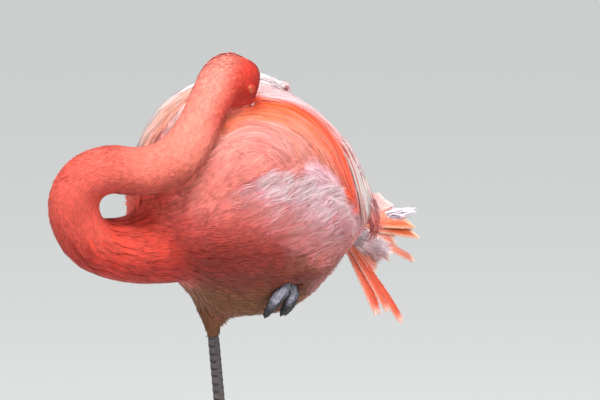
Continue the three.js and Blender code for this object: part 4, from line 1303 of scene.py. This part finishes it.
chance = np.random.default_rng(31)
shapes = []
for index, (degrees, length, half) in enumerate(TAIL_FEATHERS):
    webs = UPPER_WEBS_WITH_PAINTED_LIGHT[index] if index < LAST_UPPER else MIDDLE_WEBS if index < LAST_MIDDLE else LOWER_WEBS
    shapes += tail_feather(index, degrees, length, half, webs, chance)
LOOSE_PLUME = np.array([222.0, 2.0, 672.0])    # a white plume caught in the fan
PLUME_WAY, PLUME_BARBS = np.array([26.9, -18.2, 5.2]), 30
for _ in range(PLUME_BARBS):
    begin = BODY_MIDDLE + LOOSE_PLUME + 2.2 * chance.normal(size=3)
    course = PLUME_WAY * (0.75 + 0.35 * chance.random()) + 3.6 * chance.normal(size=3)
    middle = np.array([begin, begin + 0.5 * course + 3.0 * chance.normal(size=3), begin + course])
    edge = unit(np.cross(course, TAIL_FLAT)) * np.array([[1.3], [1.5], [0.4]])
    points = np.concatenate([middle - edge, middle + edge])
    shapes.append((points, [[0, 1, 4, 3], [1, 2, 5, 4]], linear(PLUME_TONE), (0.5, 0.5), chance.random()))
tail_mesh = gathered("tail_feathers", shapes, TAIL_VANE)
own_map = tail_mesh.uv_layers.new(name="OFBake")
for corner, source in zip(own_map.data, tail_mesh.uv_layers["vane"].data):
    corner.uv = source.uv
placed("tail_feathers", "tail_plumage", tail_mesh, ["tail"])

# %% [markdown]
# ## The bare leg
# A flamingo's leg is covered in horny skin. Broad plates, the scutes, lie across its front and back like roof
# tiles, and small rounded scales fill the sides and the foot. The skin is remade from the solids of the leg,
# the scutes are thin plates laid on it by rays cast in from outside, and the coat tree scatters the small
# scales.

# %% Skin of the leg and foot
LEG_LINE = np.array([(-50.9, 15, 528.8), (-43.8, 12, 444), (-37.5, 9, 372), (-34.5, 7.6, 338), (-33, 7, 322),
                     (-31.8, 6.5, 309), (-29.8, 5.8, 290), (-23.8, 3.8, 230), (-12, 0, 110), (-4.6, -2.5, 34),
                     (-3, -3, 18.6)])[::-1]
HEEL = np.array([-3.0, -3.0, 7.5])
TOES = [(-40, 74, 4.6), (0, 84, 5.0), (40, 76, 4.6)]    # degrees from straight ahead, length, half thickness
LEG_TONE, KNUCKLE_TONE, FOOT_TONE, WEB_TONE = "#5a5051", "#4b4041", "#50484a", "#3d3639"
SCUTES_TOP, SCUTES_END, ANKLE_LOW, ANKLE, ANKLE_HIGH = 526.0, 34, 300, 318, 338    # heights on the leg
FLOOR_CLEAR = 0.02
LEG_NODES = ["leg_right_shin", "leg_right_tarsus", "leg_right_foot"]
HORN = painted_material("horny leg skin", 0.45, 2.4, 0.34, 0.3)


def leg_middle(z):
    """The places on the leg's middle line at some heights."""
    return np.stack([np.interp(z, LEG_LINE[:, 2], LEG_LINE[:, i]) for i in range(2)] + [z], -1)


def toe_ahead(degrees):
    """The level direction of a toe, from the angle it makes with straight ahead."""
    angle = math.radians(degrees)
    return np.array([-math.cos(angle), math.sin(angle), 0.0])


leg_mesh = remade("leg_skin", LEG_NODES, 0.15, 1.15, 2)
leg_points = points_of(leg_mesh)
leg_points[:, 2] = np.maximum(leg_points[:, 2], FLOOR_CLEAR)
move_points(leg_mesh, leg_points)
own = leg_points - BODY_MIDDLE
aside = own - leg_middle(own[:, 2])
front = np.abs(aside[:, 0]) / np.maximum(np.hypot(aside[:, 0], aside[:, 1]), 1e-6)
on_foot = smooth(26, 20, own[:, 2])
toe_way = unit((own - HEEL) * np.array([1, 1, 0]))
leg_lie = unit(np.array([0.0, 0.0, -1.0]) * (1 - on_foot[:, None]) + toe_way * on_foot[:, None])
knuckle = smooth(26, 12, np.abs(own[:, 2] - ANKLE))[:, None]
from_heel = np.linalg.norm((own - HEEL)[:, :2], axis=1)
web = (on_foot * smooth(2.9, 2.3, own[:, 2]) * smooth(20, 30, from_heel))[:, None]
leg_colour = np.tile(linear(LEG_TONE), (len(own), 1))
for cover, tone in ((knuckle, KNUCKLE_TONE), (on_foot[:, None], FOOT_TONE), (web, WEB_TONE)):
    leg_colour += cover * (linear(tone) - leg_colour)
paint(leg_mesh, leg_colour)
store(leg_mesh, "lie", leg_lie, "FLOAT_VECTOR")
store(leg_mesh, "scaly", np.maximum((front < 0.42) * 1.0, on_foot) * (own[:, 2] > 2.6))
leg_mesh.materials.append(HORN)
leg_mesh.shade_smooth()
leg_skin = placed("leg_skin", "leg_skin", leg_mesh, LEG_NODES)
unwrap(leg_skin, "OFBake")

# %% Scutes and small scales
SCUTE_GAP = 0.5
SHIN_SCUTE, ANKLE_SCUTE, TARSUS_SCUTE = 9.5, 5.0, 7.5    # heights of one plate on each length of the leg
TOE_SCUTE, TOE_SCUTE_STEP = 4.8, 5.2
LEG_TREE = BVHTree.FromPolygons([Vector(p) for p in leg_points],
                                [list(f.vertices) for f in leg_mesh.polygons])


def plate_lifts(rise, rows, columns):
    """How far a plate stands off the skin: more towards its lower edge, and nothing at its two sides."""
    down = 0.05 + rise * np.linspace(0, 1, rows)[:, None] ** 2
    return down * (1 - np.abs(np.linspace(-1, 1, columns))[None] ** 6)


def cast_plate(origins, ways, lifts, tone, chance):
    """A slab on the leg's skin where rays from the origins meet it, standing out by the lifts."""
    places, rises = np.empty(origins.shape), np.empty(origins.shape)
    for at in np.ndindex(origins.shape[:2]):
        hit = LEG_TREE.ray_cast(Vector(origins[at]), Vector(ways[at]))[0]
        if hit is None:
            return []
        places[at], rises[at] = hit, -ways[at]
    grid = places + rises * lifts[..., None]
    points, faces = slab(grid, rises, 0.7)
    shade = 0.82 + 0.3 * chance.random()
    # Painted shade: each plate is darkened towards its first and last rows, where one plate meets the next.
    edge = np.abs(np.linspace(-1, 1, origins.shape[0]))[:, None] ** 6 + 0 * lifts
    colour = linear(tone) * shade * (1 - 0.8 * edge[..., None])
    return [(points, faces, np.tile(colour.reshape(-1, 3), (2, 1)), (0.5, 0.5), chance.random())]


chance = np.random.default_rng(41)
shapes = []
for toward in (-1, 1):
    z = SCUTES_TOP
    while z > SCUTES_END:
        high = SHIN_SCUTE if z > ANKLE_HIGH else ANKLE_SCUTE if z > ANKLE_LOW else TARSUS_SCUTE
        high = high * (0.85 + 0.3 * chance.random())
        tone = KNUCKLE_TONE if ANKLE_LOW < z < ANKLE_HIGH else LEG_TONE
        rows = np.linspace(z, z - high + SCUTE_GAP, 5)
        turns = np.radians(np.linspace(-66, 66, 9))
        out_ways = np.stack([toward * np.cos(turns), np.sin(turns), 0 * turns], -1)
        starts = (leg_middle(rows) + BODY_MIDDLE)[:, None, :] + 30 * out_ways[None]
        lifts = plate_lifts(0.6, 5, 9)
        shapes += cast_plate(starts, np.broadcast_to(-out_ways, starts.shape), lifts, tone, chance)
        z -= high
for degrees, length, half in TOES:
    way = toe_ahead(degrees)
    across = np.array([way[1], -way[0], 0.0])
    for reach in np.arange(13, 0.86 * length, TOE_SCUTE_STEP):
        rows = reach + np.linspace(0, TOE_SCUTE, 4)
        u = np.linspace(-1, 1, 7) * half * 0.8 * (1 - 0.3 * reach / length)
        starts = HEEL + BODY_MIDDLE + rows[:, None, None] * way + u[None, :, None] * across
        starts = starts + np.array([0, 0, 40])
        lifts = plate_lifts(0.5, 4, 7)
        down = np.broadcast_to([0.0, 0.0, -1.0], starts.shape)
        shapes += cast_plate(starts, down, lifts, FOOT_TONE, chance)
scute_mesh = gathered("leg_scutes", shapes, HORN)
scutes = placed("leg_scutes", "leg_skin", scute_mesh)
unwrap(scutes, "OFBake")


def scale_mesh(name, wide, high):
    """One small rounded scale: a low dome of two rings, lying along Y."""
    points, faces = [(0, 0, high)], []
    for share, rise in ((0.6, 0.8 * high), (1.0, -0.35 * high)):
        for j in range(6):
            turn = 2 * math.pi * j / 6
            points.append((share * wide / 2 * math.cos(turn), 1.15 * share * wide / 2 * math.sin(turn), rise))
    for j in range(6):
        a, b = 1 + j, 1 + (j + 1) % 6
        faces += [[0, a, b], [a, a + 6, b + 6, b]]
    return vaned_mesh(name, points, faces, [(0.5 + p[0] / wide, 0.5 + p[1] / wide / 1.15) for p in points])


SCALES = [scale_mesh(f"scale {i}", wide, 0.42) for i, wide in enumerate((2.3, 2.5, 2.1))]
grow_coat("leg_scales", "leg_skin", "scaly", SCALES, 1.9, (0.85, 1.15), 0.02, 0.3, HORN, 42, leg_mesh)

# %% Claws of the standing foot
CLAW = painted_material("claw horn", 0.3, 2.0, 0.1, 0.05)
CLAW_TONE = linear("#2a2426")
CLAW_HEIGHTS = np.array([3.9, 4.2, 3.6, 2.2, 0.9])    # above the floor, from the toe to the point
CLAW_RADII = [1.6, 2.3, 1.9, 1.1, 0.3]
shapes = []
for degrees, length, _ in TOES:
    way = toe_ahead(degrees)
    reach = length * np.array([0.86, 0.92, 0.97, 1.01, 1.04])
    path = HEEL * (1, 1, 0) + BODY_MIDDLE + reach[:, None] * way
    path[:, 2] += CLAW_HEIGHTS
    shapes.append((*tube(path, CLAW_RADII), CLAW_TONE, (0.5, 0.5), 0.5))
claws = placed("claws_standing", "leg_skin", gathered("claws_standing", shapes, CLAW))
unwrap(claws, "OFBake")

# %% [markdown]
# ## The drawn-up foot
# The left foot shows only its toes, curled under the belly feathers. They have the same horny skin, dark all
# over, with a painted highlight where their upper parts face up and out to the left, and a claw at each tip.

# %% Skin, scales and claws of the drawn-up foot
TOE_TONE, TOE_HIGHLIGHT_TONE = "#1d1b20", "#9490a0"
TOE_HIGHLIGHT_WAY = unit(np.array([-0.3, -0.8, 0.5]))    # the way that the toes' painted highlight faces
FOLDED_CLAW_RADII = [1.6, 2.6, 2.2, 1.3, 0.4]
TOE_TIPS = [((-16, -68, 574), (-20, -59, 560)), ((12, -61, 570), (8, -55, 560)),
            ((26, -49, 568), (22, -45, 559))]
folded_mesh = remade("folded_foot", ["leg_left_foot"], 0.2, 0.95, 3)
folded_points = points_of(folded_mesh)
folded_normals = normals_of(folded_mesh)
# Painted highlight: the upper toes are made paler where they face that way.
pale = smooth(0.35, 0.95, folded_normals @ TOE_HIGHLIGHT_WAY) * smooth(566, 580, folded_points[:, 2])
paint(folded_mesh, linear(TOE_TONE) + pale[:, None] * (linear(TOE_HIGHLIGHT_TONE) - linear(TOE_TONE)))
store(folded_mesh, "lie", np.tile([0.0, 0.0, -1.0], (len(pale), 1)), "FLOAT_VECTOR")
store(folded_mesh, "scaly", np.ones(len(pale)))
folded_mesh.materials.append(HORN)
folded_mesh.shade_smooth()
folded = placed("folded_foot", "leg_skin", folded_mesh, ["leg_left_foot"])
unwrap(folded, "OFBake")
TOE_SCALES = [scale_mesh(f"toe scale {i}", wide, 0.8) for i, wide in enumerate((3.0, 3.3, 2.8))]
grow_coat("folded_scales", "leg_skin", "scaly", TOE_SCALES, 2.4, (0.85, 1.15), 0.02, 0.3, HORN, 43,
          folded_mesh)
shapes = []
for start, end in TOE_TIPS:
    start, end = np.array(start, float) + BODY_MIDDLE, np.array(end, float) + BODY_MIDDLE
    way = unit(end - start)
    reach = np.array([-5.0, -1.5, 1.5, 4.0, 6.0])
    path = end + reach[:, None] * way + (0.04 * (reach + 5) ** 2)[:, None] * np.array([0.5, 0, 0.3])
    shapes.append((*tube(path, FOLDED_CLAW_RADII), CLAW_TONE, (0.5, 0.5), 0.5))
claws = placed("claws_folded", "leg_skin", gathered("claws_folded", shapes, CLAW))
unwrap(claws, "OFBake")

# %% [markdown]
# ## Bill
# The bill is horn: pale pink at the base, warmer in the middle and black from the bend to the tip. Its two
# halves are remade finely from their solids, and a slit of a nostril is pressed into each side of the upper
# one.

# %% Upper and lower bill
BILL_HORN = painted_material("bill horn", 0.32, 3.0, 0.06, 0.05, 0.2)
BILL_STOPS = (30, 52, 66, 74, 80)    # ahead of the head's middle, one for each tone
BILL_TONES = ("#f1d3c8", "#f0b9a8", "#e8836a", "#5a2c24", "#191513")
NOSTRIL = ((40, 4), (54, 0))    # ahead of the head's middle and up, at its two ends
NOSTRIL_DEPTH = 1.4
for half in ("bill_upper", "bill_lower"):
    mesh = remade(half + "_horn", [half], 0.0, 0.8, 2)
    places = points_of(mesh)
    own = places - BODY_MIDDLE - HEAD_MIDDLE
    ahead, rise, aside = own @ HEAD_AHEAD, own @ HEAD_CROWN, own @ HEAD_RIGHT
    if half == "bill_upper":
        slit = distance_to_line(np.stack([ahead, rise, 0 * rise], -1), [(*end, 0) for end in NOSTRIL])[0]
        places -= (np.sign(aside) * NOSTRIL_DEPTH * smooth(2.2, 0.8, slit))[:, None] * HEAD_RIGHT
        move_points(mesh, places)
    paint(mesh, graded(ahead, BILL_STOPS, BILL_TONES))
    mesh.materials.append(BILL_HORN)
    mesh.shade_smooth()
    unwrap(placed(half + "_horn", "bill", mesh, [half]), "OFBake")

# %% [markdown]
# ## Eyes
# The bird sleeps, so each eye is a whole ball with a yellow iris behind two bare lids that leave only a
# narrow slit. The lids are thin curved plates around the ball, hinged at its corners.

# %% Eyeballs and lids
EYE_RADIUS, LID_RADIUS = 6.0, 6.5
EYE_RINGS, EYE_SIDES = 20, 24
EYE_STOPS = (0, 17, 20, 40, 46, 60)    # degrees from the middle of the pupil, one for each tone
EYE_TONES = ("#0d0a08", "#0d0a08", "#f0b62c", "#e8c95a", "#7c5a34", "#c9a79a")
LID_CORNER, LID_ROOT, LID_THICK = 88, 84, 0.7    # degrees to the lids' corners and roots, and their thickness
LID_OPENINGS = {1: 6, -1: 3}    # degrees from the eye's middle to the rim of the upper and of the lower lid
LID_TONE, RIM_TONE = linear("#c23018"), linear("#d9683f")
CORNEA = painted_material("wet eyeball", 0.08, 1.2, 0.12, 0.0, 1.0)
LID_SKIN = painted_material("bare eyelid skin", 0.55, 0.9, 0.1, 0.15)
for name, side in (("eye_left", -1), ("eye_right", 1)):
    outward = HEAD_RIGHT * side
    middle = BODY_MIDDLE + eye_middle(side)
    turns = np.linspace(0, 2 * math.pi, EYE_SIDES, endpoint=False)
    arcs = np.linspace(0, math.pi, EYE_RINGS + 1)[1:-1]
    ring = np.cos(turns)[:, None] * HEAD_AHEAD + np.sin(turns)[:, None] * HEAD_CROWN
    rings = np.cos(arcs)[:, None, None] * outward + np.sin(arcs)[:, None, None] * ring[None]
    points = middle + EYE_RADIUS * np.concatenate([rings.reshape(-1, 3), [outward, -outward]])
    faces, poles = [], (len(arcs) * EYE_SIDES, len(arcs) * EYE_SIDES + 1)
    for i in range(len(arcs) - 1):
        for j in range(EYE_SIDES):
            a, b = i * EYE_SIDES + j, i * EYE_SIDES + (j + 1) % EYE_SIDES
            faces.append([a, a + EYE_SIDES, b + EYE_SIDES, b][::side])
    last = (len(arcs) - 1) * EYE_SIDES
    for j in range(EYE_SIDES):
        faces.append([poles[0], j, (j + 1) % EYE_SIDES][::side])
        faces.append([poles[1], last + (j + 1) % EYE_SIDES, last + j][::side])
    lean = np.degrees(np.arccos(np.clip((points - middle) @ outward / EYE_RADIUS, -1, 1)))
    colour = graded(lean, EYE_STOPS, EYE_TONES)
    ball = gathered(name + "_ball", [(points, faces, colour, (0.5, 0.5), 0.5)], CORNEA)
    ball.shade_smooth()
    unwrap(placed(name + "_ball", "eye", ball, [name]), "OFBake")
    shapes = []
    for lid, degrees in LID_OPENINGS.items():
        across = np.radians(np.linspace(-LID_CORNER, LID_CORNER, 19))[:, None]
        opening = np.radians(degrees) * np.cos(across)
        up_turn = opening + np.linspace(0, 1, 9)[None, :] ** 1.2 * (np.radians(LID_ROOT) - opening)
        ways = (np.cos(up_turn) * np.cos(across))[..., None] * outward
        ways = ways + (np.cos(up_turn) * np.sin(across))[..., None] * HEAD_AHEAD
        ways = ways + (lid * np.sin(up_turn))[..., None] * HEAD_CROWN
        fold = 0.12 * np.sin(up_turn * 14)[..., None]
        rim = np.exp(-((up_turn - opening) / 0.12) ** 2)[..., None]
        points, faces = slab(middle + (LID_RADIUS + fold + 0.25 * rim) * ways, ways, LID_THICK)
        tone = LID_TONE + rim.reshape(-1, 1) * (RIM_TONE - LID_TONE)
        shapes.append((points, faces, np.tile(tone, (2, 1)), (0.5, 0.5), 0.5))
    lids = gathered(name + "_lids", shapes, LID_SKIN)
    lids.shade_smooth()
    unwrap(placed(name + "_lids", "head_plumage", lids), "OFBake")
